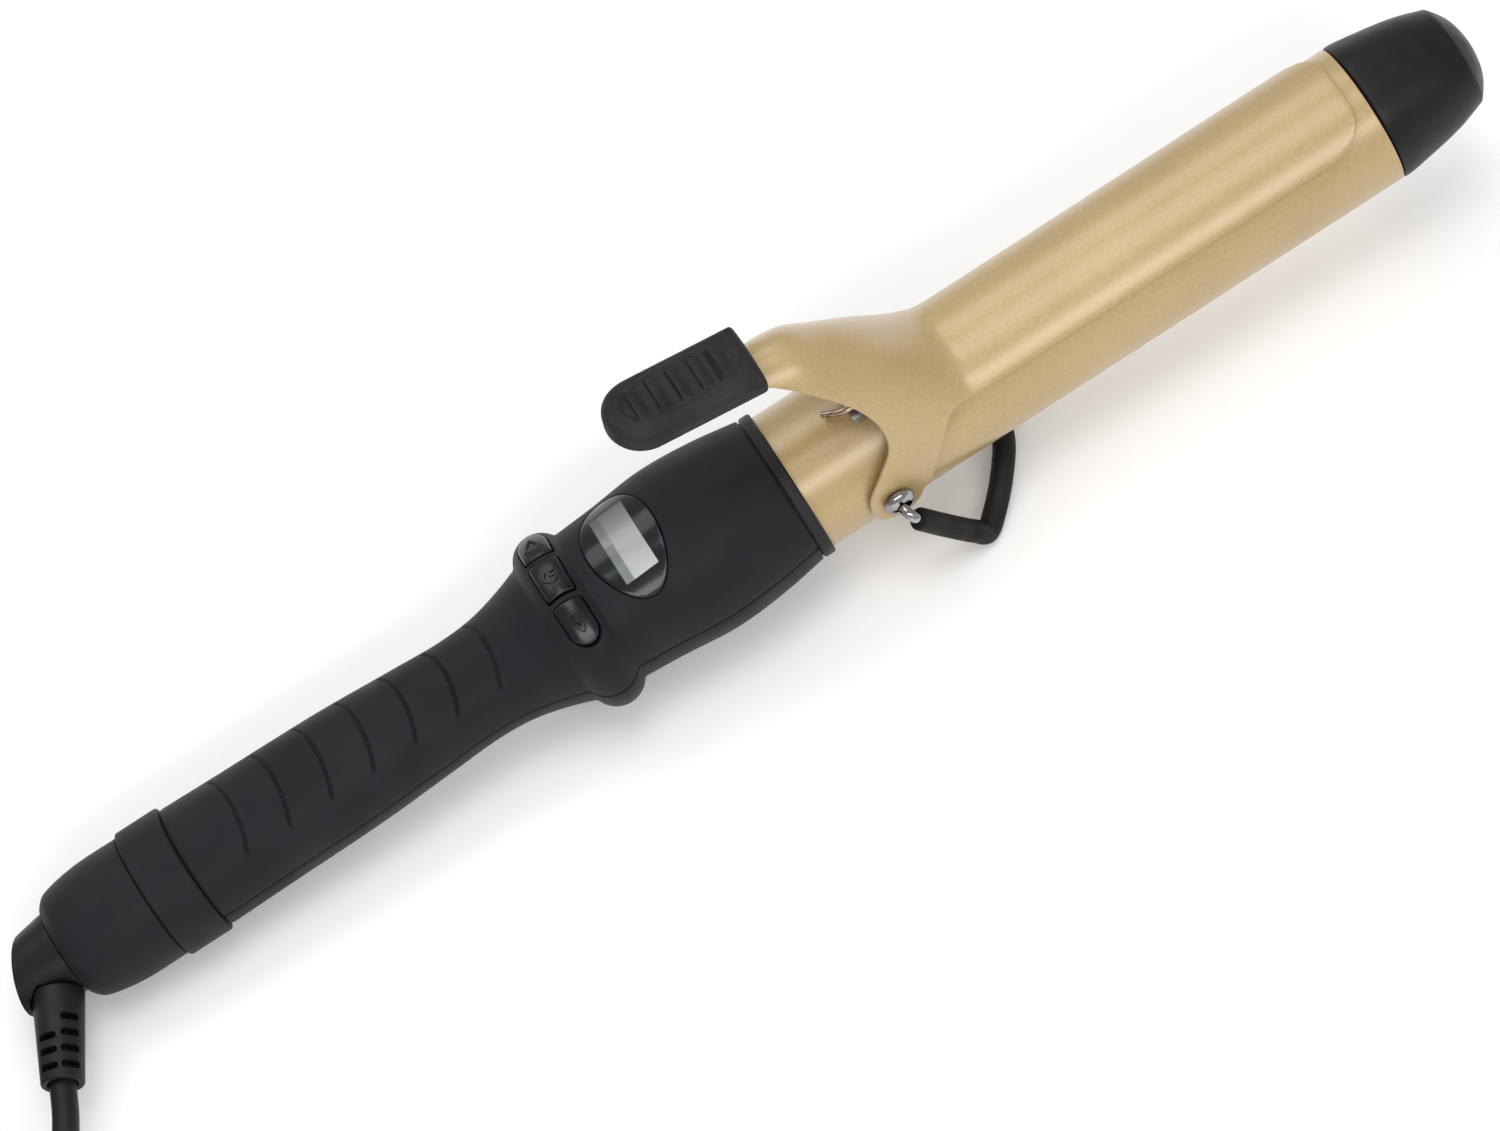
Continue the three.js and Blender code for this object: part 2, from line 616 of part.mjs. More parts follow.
function tailBand() {
  const outside = [[band.back, band.radius - 0.6], [band.back + 0.6, band.radius]];
  outside.push([band.front - 0.6, band.radius], [band.front, band.radius - 0.6]);
  return cut(shell(outside, [[band.back, tailInside], [band.front, tailInside]]), belowTable());
}

function tailCap() {
  const front = band.back - GAP;
  const outside = smooth([[capBack, 10.4], [-178.3, 12.2], [-175.7, 13.1], [-169, 14.1], [front, 14.2]], 7);
  const inside = [
    [capBack, 6.4], [-177.5, 6.4], [-177.5, 11], [-172.3, 11], [-172.3, tailInside], [front, tailInside],
  ];
  return shell(outside, inside);
}

/** The turning elbow: a tapered stub cut off along the cord's way, with a flanged spigot in the tail. */
function swivelElbow() {
  const across = new THREE.Vector3(swivelAxis.y, -swivelAxis.x, 0);
  const stub = rod([[-196, 7.9], [-187, 8.3], [capBack - GAP, 9.5]]);
  const block = new THREE.BoxGeometry(60, 60, 40).translate(-30 - relief.wide - 1.3, 0, 0);
  const turn = Math.atan2(-across.y, -across.x);
  const keep = solid(block.rotateZ(turn).translate(elbowCorner.x, elbowCorner.y, 0));
  const spigot = rod([
    [-184, 6.1], [-177.2, 6.1], [-177.2, 8.5], [-175.8, 8.5], [-175.8, 5], [-163, 5],
  ]);
  const from = elbowCorner.clone().addScaledVector(swivelAxis, relief.start - GAP);
  const to = elbowCorner.clone().addScaledVector(swivelAxis, 40);
  const socket = pin(from, to, relief.wide + GAP);
  const bore = pin(vector([-186, 0, 0]), vector([-150, 0, 0]), 1.5);
  return cut(join(cut(stub, keep), spigot), socket, bore);
}

function strainRelief() {
  const at = (distance) => elbowCorner.clone().addScaledVector(swivelAxis, distance);
  const sleeveSolid = pin(at(relief.start), at(relief.end), relief.wide, relief.narrow, 16);
  return cut(sleeveSolid, pin(at(relief.start - 1), at(relief.end + 1), relief.bore));
}

/** Fixed insulating cup around the swivel's contacts. */
function swivelSocket() {
  const outer = neck.inner - GAP;
  const cup = shell([[-175.4, outer], [-158, outer]], [[-175.4, 8], [-161, 8], [-161, 1.8], [-158, 1.8]]);
  return cut(cup, box(-162, -157, -1.9, 1.9, 6.3, 7.9));
}

add('tail_band', tailBand(), material.softTouch);
add('tail_cap', tailCap(), material.softTouch);
add('swivel_elbow', swivelElbow(), material.satinBlack);
add('strain_relief', strainRelief(), material.cord);
add('swivel_ring', shell([[-172, 6.2], [-166, 6.2]], [[-172, 5.3], [-166, 5.3]]), material.brass);
add('swivel_pin', rod([[-172, 1.2], [-160, 1.2]]), material.brass);
add('swivel_socket', swivelSocket(), material.phenolic);
add('contact_leaf_live', box(-171, -155, -1.5, 1.5, 6.7, 7.5), material.brass);
add('contact_leaf_neutral', box(-159.6, -155.1, -1.2, 1.2, -1.2, 1.2), material.brass);

// ---------------------------------------------------------------------------------------------------------
// Cord: from the strain relief down to the table, a stored coil, and the plug lying on it
// ---------------------------------------------------------------------------------------------------------
const cordSize = { steps: 18, sides: 10 };
const halfSpan = (coil.turnsPerLayer * coil.pitch) / 2; // half the coil's build across its turns
const coilHeight = coil.pitch * (coil.layers - 1) + 2 * cordRadius;
const coilTop = coil.lift + coilHeight;

/** The cord's way from the strain relief to the coil's outer turn. */
const leadIn = [
  [-181.5, -27.5, 12.75], [-184, -33.8, 12.35], [-188.6, -41.3, 11], [-195.5, -47.6, 8.8],
  [-204.5, -51.9, 6.2], [-214.5, -53.5, 4.4], [-224.6, -53.6, 3.85],
];

/** The cord's end: over the top of the coil and round to the plug. */
const tailOut = [
  [-243.5, -42.3, 21.5], [-251.5, -47, 21.6], [-262, -49, 22], [-272.5, -44.7, 23.5], [-279.3, -36.5, 25.4],
  [-282, -26.6, 26.6],
];

function cordCoil() {
  const inner = coil.middle - halfSpan - cordRadius;
  const outer = coil.middle + halfSpan + cordRadius;
  const outline = [[inner, 0], [outer, 0], [outer, coilHeight], [inner, coilHeight], [inner, 0]];
  const points = outline.map(([r, z]) => new THREE.Vector2(r, z + coil.lift));
  return solid(new THREE.LatheGeometry(points, 36).rotateX(Math.PI / 2).translate(coil.x, coil.y, 0));
}

/** Strap round the coil's bundle, on the side away from the plug. */
function cordTie() {
  const reach = halfSpan + cordRadius + GAP;
  const sag = 0.7; // the inner turns curve away under the strap's width
  const near = coil.y + coil.middle - reach - sag;
  const far = coil.y + coil.middle + reach;
  const [low, high] = [coil.lift - GAP, coilTop + GAP];
  const block = (half, grow) =>
    box(coil.x - half, coil.x + half, near - grow, far + grow, low - grow, high + grow);
  return cut(block(5, 0.7), block(6, 0));
}

add('cord_lead', tube(leadIn, cordRadius, cordSize), material.cord, model);
add('cord_coil', cordCoil(), material.cord, model);
add('cord_tie', cordTie(), material.rubber, model);
add('cord_tail', tube(tailOut, cordRadius, cordSize), material.cord, model);

/** Two-blade plug that lies across the coil's top; its body narrows to the cord. */
const plug = { x: -282, y: -25.7, z: coilTop + GAP + 8, length: 30, blade: 16.5, spacing: 12.7 };
const plugFront = plug.y + plug.length;

function plugBody() {
  const halfOutline = [[4.2, plug.y], [6, plug.y + 9], [12, plug.y + 13], [12, plugFront]];
  const outline = new THREE.Shape(halfOutline.map(([x, y]) => new THREE.Vector2(plug.x + x, y)));
  for (const [x, y] of halfOutline.toReversed()) outline.lineTo(plug.x - x, y);
  const slots = [-1, 1].map((way) => {
    const x = plug.x + (way * plug.spacing) / 2;
    return box(x - 1.05, x + 1.05, plugFront - 4, plugFront + 1, plug.z - 4.3, plug.z + 4.3);
  });
  return cut(raised(outline, plug.z - 8, plug.z + 8), ...slots);
}

/** Flat blade; the neutral one is wider. */
function plugBlade(way, height) {
  const x = plug.x + (way * plug.spacing) / 2;
  const [low, high] = [plug.z - height / 2, plug.z + height / 2];
  return box(x - 0.75, x + 0.75, plugFront - 3.7, plugFront + plug.blade, low, high);
}

add('plug_body', plugBody(), material.cord, model);
add('plug_blade_neutral', plugBlade(-1, 7.9), material.brass, model);
add('plug_blade_live', plugBlade(1, 6.35), material.brass, model);

export default model;
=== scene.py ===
# %% [markdown]
# # A clamp curling iron
# The iron has a round heated barrel, a sprung clamp, a moulded handle with three buttons and a small
# display, a folding wire stand and a mains cord on a swivel. The CAD model already holds its real sizes
# and everything that moves, so this lesson only makes the looks: fine surfaces and good materials.
# It starts by loading that model as a fixed frame. Most pieces made here ride on one of its bodies.

# %% Load the frame
import json
import math

import bpy
import bmesh
import numpy as np
from mathutils import Matrix, Vector
from mathutils.geometry import delaunay_2d_cdt


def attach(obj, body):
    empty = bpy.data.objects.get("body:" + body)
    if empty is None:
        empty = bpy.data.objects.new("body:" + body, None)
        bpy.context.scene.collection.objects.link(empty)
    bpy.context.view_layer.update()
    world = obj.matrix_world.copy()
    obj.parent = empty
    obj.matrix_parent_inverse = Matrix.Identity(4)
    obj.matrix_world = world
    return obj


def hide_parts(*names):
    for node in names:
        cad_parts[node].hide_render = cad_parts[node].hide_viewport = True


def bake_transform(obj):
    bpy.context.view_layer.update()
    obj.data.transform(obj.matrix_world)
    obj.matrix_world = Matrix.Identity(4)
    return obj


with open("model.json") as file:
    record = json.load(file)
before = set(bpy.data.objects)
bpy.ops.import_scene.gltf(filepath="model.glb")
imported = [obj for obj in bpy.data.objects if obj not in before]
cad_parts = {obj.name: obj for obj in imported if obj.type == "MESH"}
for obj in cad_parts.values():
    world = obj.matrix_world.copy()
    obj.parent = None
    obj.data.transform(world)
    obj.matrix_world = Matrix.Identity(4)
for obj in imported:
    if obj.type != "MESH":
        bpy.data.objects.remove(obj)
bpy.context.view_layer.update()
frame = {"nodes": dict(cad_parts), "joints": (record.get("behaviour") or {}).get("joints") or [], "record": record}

record = frame["record"]
body_of = {node: body for body, nodes in record["behaviour"]["bodies"].items() for node in nodes}
slot_of = {part["node"]: part["material_slot"] for part in record["subparts"]}

# %% [markdown]
# ## The iron's own directions
# The iron lies tilted on its stand, so its axis isn't level. Modelling is easier along the iron: x to
# the tip, z up through the clamp, x = 0 at the front of the handle, and everything in millimetres. Two
# joints of the model give that frame exactly: the swivel turns about the iron's axis, and the clamp's
# pivot is a known distance ahead of the handle. The pieces are built in it and placed by one matrix.

# %% The matrix that places a piece
MM = 0.001
PIVOT_X = 17.2  # the clamp's pivot, ahead of the handle's front

joints = {joint["name"]: joint for joint in frame["joints"]}
along = -Vector(joints["cord_swivel"]["axis"]).normalized()
across = Vector((0, 1, 0))
lift = along.cross(across)
origin = Vector(joints["clamp_pivot"]["pos_m"]) - along * PIVOT_X * MM
IRON = Matrix.Translation(origin) @ Matrix((along, across, lift)).transposed().to_4x4()
LEVEL = Matrix.Identity(4)
print("tilt:", round(math.degrees(math.asin(along.z)), 2), "degrees")

# %% [markdown]
# ## Camera
# A long lens from a little over a metre keeps the iron's sides nearly parallel. The camera leans about
# thirty degrees from straight above towards the near side, and the iron climbs across the frame. It
# could be placed by trial in the viewport. Here it is worked out from two angles, a distance and the
# spot on the iron that it looks at, so each of them can be read and changed by itself.

# %% Camera
LEAN = math.radians(30.5)  # from straight above the iron, towards its near side
CLIMB = math.radians(32.85)  # of the iron across the frame
DISTANCE = 1134
AIM_X, AIM_DOWN = -16.1, 9.9  # the frame's middle: along the iron, and down its near flank

towards = Vector((0, -math.sin(LEAN), math.cos(LEAN)))
down = Vector((0, -math.cos(LEAN), -math.sin(LEAN)))
right = Vector((math.cos(CLIMB), 0, 0)) + down * math.sin(CLIMB)
top = towards.cross(right)
place = Vector((AIM_X, 0, 0)) + down * AIM_DOWN + towards * DISTANCE
turn = Matrix((right, top, towards)).transposed().to_4x4()

camera = bpy.data.objects.new("camera", bpy.data.cameras.new("camera"))
camera.data.lens = 130
camera.data.sensor_width = 36
camera.data.clip_end = 20
camera.matrix_world = IRON @ Matrix.Translation(place * MM) @ turn
scene = bpy.context.scene
scene.collection.objects.link(camera)
scene.camera = camera
print("camera at", [round(value, 3) for value in camera.matrix_world.translation])


# %% [markdown]
# ## Colours and a first material
# The floor needs a material, and so does every piece after it. Blender's materials are node trees
# around one shader, and a tree can be drawn by hand in the editor. In a script it is shorter to keep
# the tree in one small class, whose methods add noise, colour, gloss and bump by name. Paper is the
# first finish made with it: nearly white, faintly uneven and without shine.


# %% Colours and a first material
def tone(red, green, blue):
    """A colour given as everyday 0 to 255 values, as the light values that shaders want."""
    straight = [value / 255 for value in (red, green, blue)]
    return (*[((value + 0.055) / 1.055) ** 2.4 for value in straight], 1)


class Finish:
    """A material with one Principled shader, and short ways to hang procedural nodes on it."""

    def __init__(self, name, colour, roughness, metallic=0.0, **sockets):
        self.material = bpy.data.materials.new(name)
        self.material.use_nodes = True
        self.tree = self.material.node_tree
        self.shader = self.tree.nodes["Principled BSDF"]
        self.bump = None
        values = {"Base Color": colour, "Roughness": roughness, "Metallic": metallic, **sockets}
        for socket, value in values.items():
            self.shader.inputs[socket].default_value = value

    def node(self, kind, inputs=None, **settings):
        """A node of a kind, its settings set, and its inputs set or linked."""
        made = self.tree.nodes.new("ShaderNode" + kind)
        for key, value in settings.items():
            setattr(made, key, value)
        for key, value in (inputs or {}).items():
            if isinstance(value, bpy.types.NodeSocket):
                self.tree.links.new(value, made.inputs[key])
            else:
                made.inputs[key].default_value = value
        return made

    def place(self):
        """Where a point of the surface is, in metres, in the piece's own frame."""
        return self.node("TexCoord").outputs["Object"]

    def noise(self, scale, detail=3.0, stretch=(1, 1, 1)):
        """Soft random values; the scale is in bumps per metre."""
        mapped = self.node("Mapping", {"Vector": self.place(), "Scale": stretch})
        inputs = {"Vector": mapped.outputs[0], "Scale": scale, "Detail": detail}
        return self.node("TexNoise", inputs).outputs["Fac"]

    def spread(self, value, low, high, to_low, to_high):
        """A value remapped from one range to another."""
        inputs = {"Value": value, 1: low, 2: high, 3: to_low, 4: to_high}
        return self.node("MapRange", inputs).outputs[0]

    def between(self, value, dark, light):
        """A colour that runs from dark to light with a value."""
        mixed = self.node("Mix", {"Factor": value, 6: dark, 7: light}, data_type="RGBA")
        return mixed.outputs[2]

    def link(self, value, socket):
        """Drive one socket of the shader."""
        self.tree.links.new(value, self.shader.inputs[socket])

    def mottle(self, dark, light, scale, detail=3.0, stretch=(1, 1, 1)):
        """Slow colour variation over the surface."""
        value = self.spread(self.noise(scale, detail, stretch), 0.35, 0.65, 0, 1)
        colour = self.between(value, dark, light)
        self.link(colour, "Base Color")
        return colour

    def gloss_between(self, low, high, scale, detail=3.0, stretch=(1, 1, 1)):
        """Roughness that wanders between two values."""
        value = self.noise(scale, detail, stretch)
        self.link(self.spread(value, 0.3, 0.7, low, high), "Roughness")

    def relief(self, height, depth, strength=1.0):
        """Bump from a height value; the depth is in millimetres. Reliefs add up."""
        inputs = {"Height": height, "Strength": strength, "Distance": depth * MM}
        if self.bump is not None:
            inputs["Normal"] = self.bump.outputs[0]
        self.bump = self.node("Bump", inputs)
        self.link(self.bump.outputs[0], "Normal")


paper = Finish("studio_paper", tone(252, 252, 252), 0.9)
paper.mottle(tone(250, 250, 250), tone(253, 253, 253), 6)
paper.relief(paper.noise(900), 0.05, 0.3)
print("first finish:", paper.material.name, "with", len(paper.tree.nodes), "nodes")

# %% [markdown]
# ## Floor and lamps
# The iron stands on a plain sheet much larger than itself, so no edge of it shows. Small lamps would
# give hard shadows and pinched highlights on the barrel. Wide area lights do what soft boxes do in a
# studio, and an even white surround fills in the rest.

# %% Floor and light
FLOOR_HALF = 4
SURROUND = 0.62  # strength of the even light from all round

floor = bpy.data.objects.new("floor", bpy.data.meshes.new("floor"))
corners = [(x * FLOOR_HALF, y * FLOOR_HALF, 0) for x, y in ((-1, -1), (1, -1), (1, 1), (-1, 1))]
floor.data.from_pydata(corners, [], [(0, 1, 2, 3)])
floor.data.materials.append(paper.material)
scene.collection.objects.link(floor)

scene.view_settings.view_transform = "Standard"
world = bpy.data.worlds.new("surround")
world.use_nodes = True
backdrop = world.node_tree.nodes["Background"]
backdrop.inputs["Color"].default_value = (1, 1, 1, 1)
backdrop.inputs["Strength"].default_value = SURROUND
scene.world = world


def soft_box(name, spot, width, height, watts):
    """A rectangular area light at a spot, turned to the middle of the floor."""
    lamp = bpy.data.lights.new(name, "AREA")
    lamp.shape = "RECTANGLE"
    lamp.size, lamp.size_y = width, height
    lamp.energy = watts
    box = bpy.data.objects.new(name, lamp)
    box.location = spot
    box.rotation_euler = (Vector() - Vector(spot)).to_track_quat("-Z", "Y").to_euler()
    scene.collection.objects.link(box)


soft_box("near_box", (0.0, -0.85, 0.75), 1.1, 0.3, 6)
soft_box("far_box", (-0.1, 0.7, 1.1), 1.2, 0.6, 5)
soft_box("top_box", (0.1, -0.1, 1.6), 0.8, 0.8, 6)
print("lights:", len(bpy.data.lights))

# %% [markdown]
# ## Smooth lines
# Almost every shape here starts from a line: the outline of a turned part, the way of a wire, the edge
# of a pressed sheet. A curve through a few chosen points keeps such a line short and smooth, and a
# fillet rounds the corners that a mould or a press would round. Curve objects could be drawn and read
# back, but a list of points is easier to mirror, to join and to measure.


# %% Curves and fillets
NO_LENGTH = 1e-6
NEARLY_STRAIGHT = math.radians(165)  # a corner opener than this isn't rounded


def through(points, step):
    """Points about a step apart along a smooth curve through the given ones."""
    knots = [Vector(point) for point in points]
    ends = [2 * knots[0] - knots[1], *knots, 2 * knots[-1] - knots[-2]]
    way = []
    for a, b, c, d in zip(ends, ends[1:], ends[2:], ends[3:]):
        t1 = (b - a).length ** 0.5
        t2 = t1 + (c - b).length ** 0.5
        t3 = t2 + (d - c).length ** 0.5
        count = max(1, round((c - b).length / step))
        for i in range(count):
            t = t1 + (t2 - t1) * i / count
            ab = a.lerp(b, t / t1)
            bc = b.lerp(c, (t - t1) / (t2 - t1))
            cd = c.lerp(d, (t - t2) / (t3 - t2))
            abc = ab.lerp(bc, t / t2)
            bcd = bc.lerp(cd, (t - t1) / (t3 - t1))
            way.append(abc.lerp(bcd, (t - t1) / (t2 - t1)))
    way.append(knots[-1])
    return way


def arc(x, y, radius, start, end, steps):
    """Points of an arc in a plane, between two angles in degrees."""
    angles = np.radians(np.linspace(start, end, steps + 1))
    return [(x + radius * math.cos(a), y + radius * math.sin(a)) for a in angles]


def circle(x, radius):
    """Thirty-two points of a circle about a point on the x axis."""
    angles = np.linspace(0, 2 * math.pi, 33)[:-1]
    return [(x + radius * math.cos(a), radius * math.sin(a)) for a in angles]


def fillet(points, radius, steps=4, closed=True):
    """The same outline with its corners rounded; short edges get smaller rounds."""
    corners = [Vector(point) for point in points]
    rounded = []
    for i, corner in enumerate(corners):
        before, after = corners[i - 1], corners[(i + 1) % len(corners)]
        inward, outward = before - corner, after - corner
        open_end = not closed and i in (0, len(corners) - 1)
        if open_end or min(inward.length, outward.length) < NO_LENGTH:
            rounded.append(corner)
            continue
        bend = inward.angle(outward)
        if bend > NEARLY_STRAIGHT:
            rounded.append(corner)
            continue
        reach = min(radius / math.tan(bend / 2), 0.45 * inward.length, 0.45 * outward.length)
        start = corner + inward.normalized() * reach
        end = corner + outward.normalized() * reach
        for k in range(steps + 1):
            t = k / steps
            rounded.append(start.lerp(corner, t).lerp(corner.lerp(end, t), t))
    return rounded


def spaced(loop, step):
    """A closed loop with its long edges divided, so that no gap is longer than the step."""
    points = [Vector(point) for point in loop]
    dense = []
    for a, b in zip(points, points[1:] + points[:1]):
        count = max(1, math.ceil((b - a).length / step))
        dense += [a.lerp(b, i / count) for i in range(count)]
    return dense


print("a smooth way through 4 points:", len(through([(0, 0), (5, 2), (9, 2), (12, 0)], 1)), "points")

# %% [markdown]
# ## From a line to a body
# Turned parts are outlines spun about an axis, and wires and cords are rings carried along a way. Small
# parts are flat outlines given a thickness. Screw and curve modifiers could do much of this, but plain
# functions let one line serve a lathe, a sweep and a cut. Each helper returns bare points and faces in
# millimetres. Then bare() makes an object of them, with its faces turned outward, and places it, and
# fasten() smooths all but its sharp edges, paints it, and hides the CAD nodes that it stands for.


# %% Turned bodies
def frame_about(axis):
    """Two directions square to an axis and to each other."""
    axis = Vector(axis).normalized()
    helper = Vector((0, 0, 1)) if abs(axis.z) < 0.9 else Vector((1, 0, 0))
    side = axis.cross(helper).normalized()
    return side, side.cross(axis).normalized()


def ring_about(middle, side, other, radius, sides):
    """Points of a circle about a middle, in the plane of two directions."""
    angles = [2 * math.pi * k / sides for k in range(sides)]
    return [middle + (side * math.cos(a) + other * math.sin(a)) * radius for a in angles]


def band_faces(a, b):
    """Faces between two rings of point numbers; either may be a single pole."""
    count = max(len(a), len(b))
    faces = []
    for k in range(count):
        n = (k + 1) % count
        corners = [a[k % len(a)], a[n % len(a)], b[n % len(b)], b[k % len(b)]]
        face = tuple(dict.fromkeys(corners))
        if len(face) > 2:
            faces.append(face)
    return faces


def banded(rings):
    """Faces between each ring of point numbers and the next."""
    return [face for a, b in zip(rings, rings[1:]) for face in band_faces(a, b)]


def spun(outline, sides=96, axis=(1, 0, 0), start=(0, 0, 0), closed=False):
    """A body turned about an axis from (distance along it, radius) pairs. A radius of 0 is a pole."""
    axis, start = Vector(axis).normalized(), Vector(start)
    side, other = frame_about(axis)
    points, rings = [], []
    for distance, radius in outline:
        middle = start + axis * distance
        count = 1 if radius < NO_LENGTH else sides
        rings.append(range(len(points), len(points) + count))
        points += ring_about(middle, side, other, radius, sides)[:count]
    if closed:
        rings.append(rings[0])
    return points, banded(rings)


def rod(low, high, radius, sides=32, axis=(1, 0, 0), start=(0, 0, 0)):
    """A plain cylinder, to be cut with."""
    return spun([(low, 0), (low, radius), (high, radius), (high, 0)], sides, axis, start)


def tube_outline(low, high, bore, radius):
    """The cut section of a tube, to be spun closed."""
    return [(low, bore), (low, radius), (high, radius), (high, bore)]


print("a short tube:", len(spun(tube_outline(0, 5, 2, 3), closed=True)[1]), "faces")


# %% Swept and flat bodies
def swept(way, radius, sides=16):
    """A round bar along a way, with closed ends. The radius may be one number or one for each point."""
    way = [Vector(point) for point in way]
    radii = radius if hasattr(radius, "__len__") else [radius] * len(way)
    heading = (way[1] - way[0]).normalized()
    side = frame_about(heading)[0]
    points, rings = [way[0].copy()], [range(0, 1)]
    for i, point in enumerate(way):
        ahead = way[min(i + 1, len(way) - 1)] - way[max(i - 1, 0)]
        new = ahead.normalized()
        side = heading.rotation_difference(new) @ side
        side = (side - new * side.dot(new)).normalized()
        heading = new
        rings.append(range(len(points), len(points) + sides))
        points += ring_about(point, side, heading.cross(side), radii[i], sides)
    rings.append(range(len(points), len(points) + 1))
    points.append(way[-1].copy())
    return points, banded(rings)


def lofted(rings):
    """A closed body through rings of equal count, with a middle point at each end."""
    points, numbers = [], []
    for ring in rings:
        numbers.append(range(len(points), len(points) + len(ring)))
        points += [Vector(point) for point in ring]
    faces = banded(numbers)
    for ring in (numbers[0], numbers[-1]):
        middle = sum((points[i] for i in ring), Vector()) / len(ring)
        faces += band_faces(ring, [len(points)])
        points.append(middle)
    return points, faces


def slab(outline, low, high):
    """A flat outline in x and y given a thickness from low to high."""
    count = len(outline)
    points = [(x, y, z) for z in (low, high) for x, y in outline]
    faces = [tuple(range(count))[::-1], tuple(range(count, 2 * count))]
    faces += [(i, (i + 1) % count, count + (i + 1) % count, count + i) for i in range(count)]
    return points, faces


def brick(x0, x1, y0, y1, z0, z1):
    """A plain block between two corners, to be cut with or bevelled."""
    return slab([(x0, y0), (x1, y0), (x1, y1), (x0, y1)], z0, z1)


def joined(*shapes):
    """Several bodies as one list of points and one of faces."""
    points, faces = [], []
    for more_points, more_faces in shapes:
        faces += [tuple(i + len(points) for i in face) for face in more_faces]
        points += list(more_points)
    return points, faces


def moved(shape, turn, place=(0, 0, 0)):
    """The same body, turned by a matrix or a quaternion and carried to a place."""
    points, faces = shape
    return [Vector(place) + turn @ Vector(point) for point in points], faces


print("a short wire:", len(swept([(0, 0, 0), (4, 0, 0), (8, 2, 0)], 1)[1]), "faces")


# %% From points to a finished piece
def bare(name, shape, matrix=IRON):
    """A mesh object from points in millimetres, placed but riding on nothing yet."""
    points, faces = shape
    mesh = bpy.data.meshes.new(name)
    mesh.from_pydata([Vector(point) * MM for point in points], [], faces)
    work = bmesh.new()
    work.from_mesh(mesh)
    bmesh.ops.recalc_face_normals(work, faces=work.faces)
    work.to_mesh(mesh)
    work.free()
    made = bpy.data.objects.new(name, mesh)
    made.matrix_world = matrix
    scene.collection.objects.link(made)
    return made


def fasten(made, finish, *nodes, sharp=40, rides=True):
    """Finish a piece: smooth it, paint it, and let it stand for CAD nodes on their body."""
    made.data.materials.clear()
    made.data.materials.append(finish.material)
    made.data.polygons.foreach_set("use_smooth", [True] * len(made.data.polygons))
    made.data.set_sharp_from_angle(angle=math.radians(sharp))
    if rides:
        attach(made, body_of[nodes[0]])
    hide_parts(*nodes)
    print(f"{made.name}: {len(made.data.polygons)} faces")
    return made


def settled(made):
    """Make a piece's modifiers part of its mesh."""
    graph = bpy.context.evaluated_depsgraph_get()
    mesh = bpy.data.meshes.new_from_object(made.evaluated_get(graph))
    made.modifiers.clear()
    made.data = mesh
    return made


def carve(made, tool, operation="DIFFERENCE"):
    """Cut one object with another, or weld them with UNION, and throw the tool away."""
    cutting = made.modifiers.new("cut", "BOOLEAN")
    cutting.operation = operation
    cutting.solver = "EXACT"
    cutting.object = tool
    settled(made)
    bpy.data.objects.remove(tool)


def bevelled(made, width, segments=3, angle=30):
    """Round a piece's edges by a width in millimetres."""
    bevel = made.modifiers.new("edges", "BEVEL")
    bevel.width = width * MM
    bevel.segments = segments
    bevel.limit_method = "ANGLE"
    bevel.angle_limit = math.radians(angle)
    return settled(made)


print("nodes that a piece may stand for:", len(body_of))

# %% [markdown]
# ## Finishes
# Each finish is a small node tree. The handle wears a matte soft-touch lacquer over a moulded shell:
# nearly black with a warm violet cast, and a very fine dusty grain. The barrel and clamp are painted a
# satin champagne gold, where fine metal flakes sparkle under a slightly uneven clear film. Everything
# else is ordinary factory stuff: spark-eroded black plastic, rubber, chrome, wire, brass and ceramic.
# Painted image maps could do this too, but they need unwrapped meshes and files. Patterns made from
# noise in the piece's own space need neither, and they stay at their real scale.


# %% Lacquer, plastic and rubber
def soft_touch_lacquer():
    lacquer = Finish("soft_touch_lacquer", tone(31, 27, 33), 0.6, **{"Specular IOR Level": 0.14})
    lacquer.shader.inputs["Sheen Weight"].default_value = 0.03
    lacquer.shader.inputs["Sheen Roughness"].default_value = 0.5
    lacquer.mottle(tone(28, 24, 30), tone(33, 29, 35), 55)
    lacquer.gloss_between(0.52, 0.64, 120)
    lacquer.relief(lacquer.noise(5200, 2), 0.02, 0.35)
    lacquer.relief(lacquer.noise(160, 2), 0.06, 0.15)
    return lacquer


def moulded_plastic(name, dark, light, low, high, grain=0.03, shine=0.22):
    plastic = Finish(name, light, high, **{"Specular IOR Level": shine})
    plastic.mottle(dark, light, 70)
    plastic.gloss_between(low, high, 400)
    plastic.relief(plastic.noise(3500, 4), grain, 0.5)
    return plastic


def moulded_rubber(name, dark, light):
    rubber = Finish(name, light, 0.6, **{"Specular IOR Level": 0.22})
    rubber.mottle(dark, light, 90)
    rubber.gloss_between(0.5, 0.72, 220)
    rubber.relief(rubber.noise(2600, 3), 0.04, 0.45)
    return rubber


soft_touch = soft_touch_lacquer()
satin_black = moulded_plastic("satin_black_plastic", tone(15, 14, 16), tone(20, 19, 22), 0.36, 0.48)
gloss_tones = tone(9, 8, 9), tone(13, 12, 13)
gloss_black = moulded_plastic("gloss_black_plastic", *gloss_tones, 0.2, 0.28, 0.006, 0.36)
rubber_black = moulded_rubber("black_rubber", tone(30, 27, 30), tone(38, 35, 38))
sleeve_black = moulded_rubber("stand_sleeve_rubber", tone(18, 16, 17), tone(25, 23, 24))
jacket_black = moulded_plastic("cord_jacket_vinyl", tone(16, 16, 18), tone(22, 22, 25), 0.4, 0.52)
print("black finishes:", len(bpy.data.materials))


# %% Gold paint
FLAKES_PER_METRE = 4200.0  # so a flake is about a quarter of a millimetre


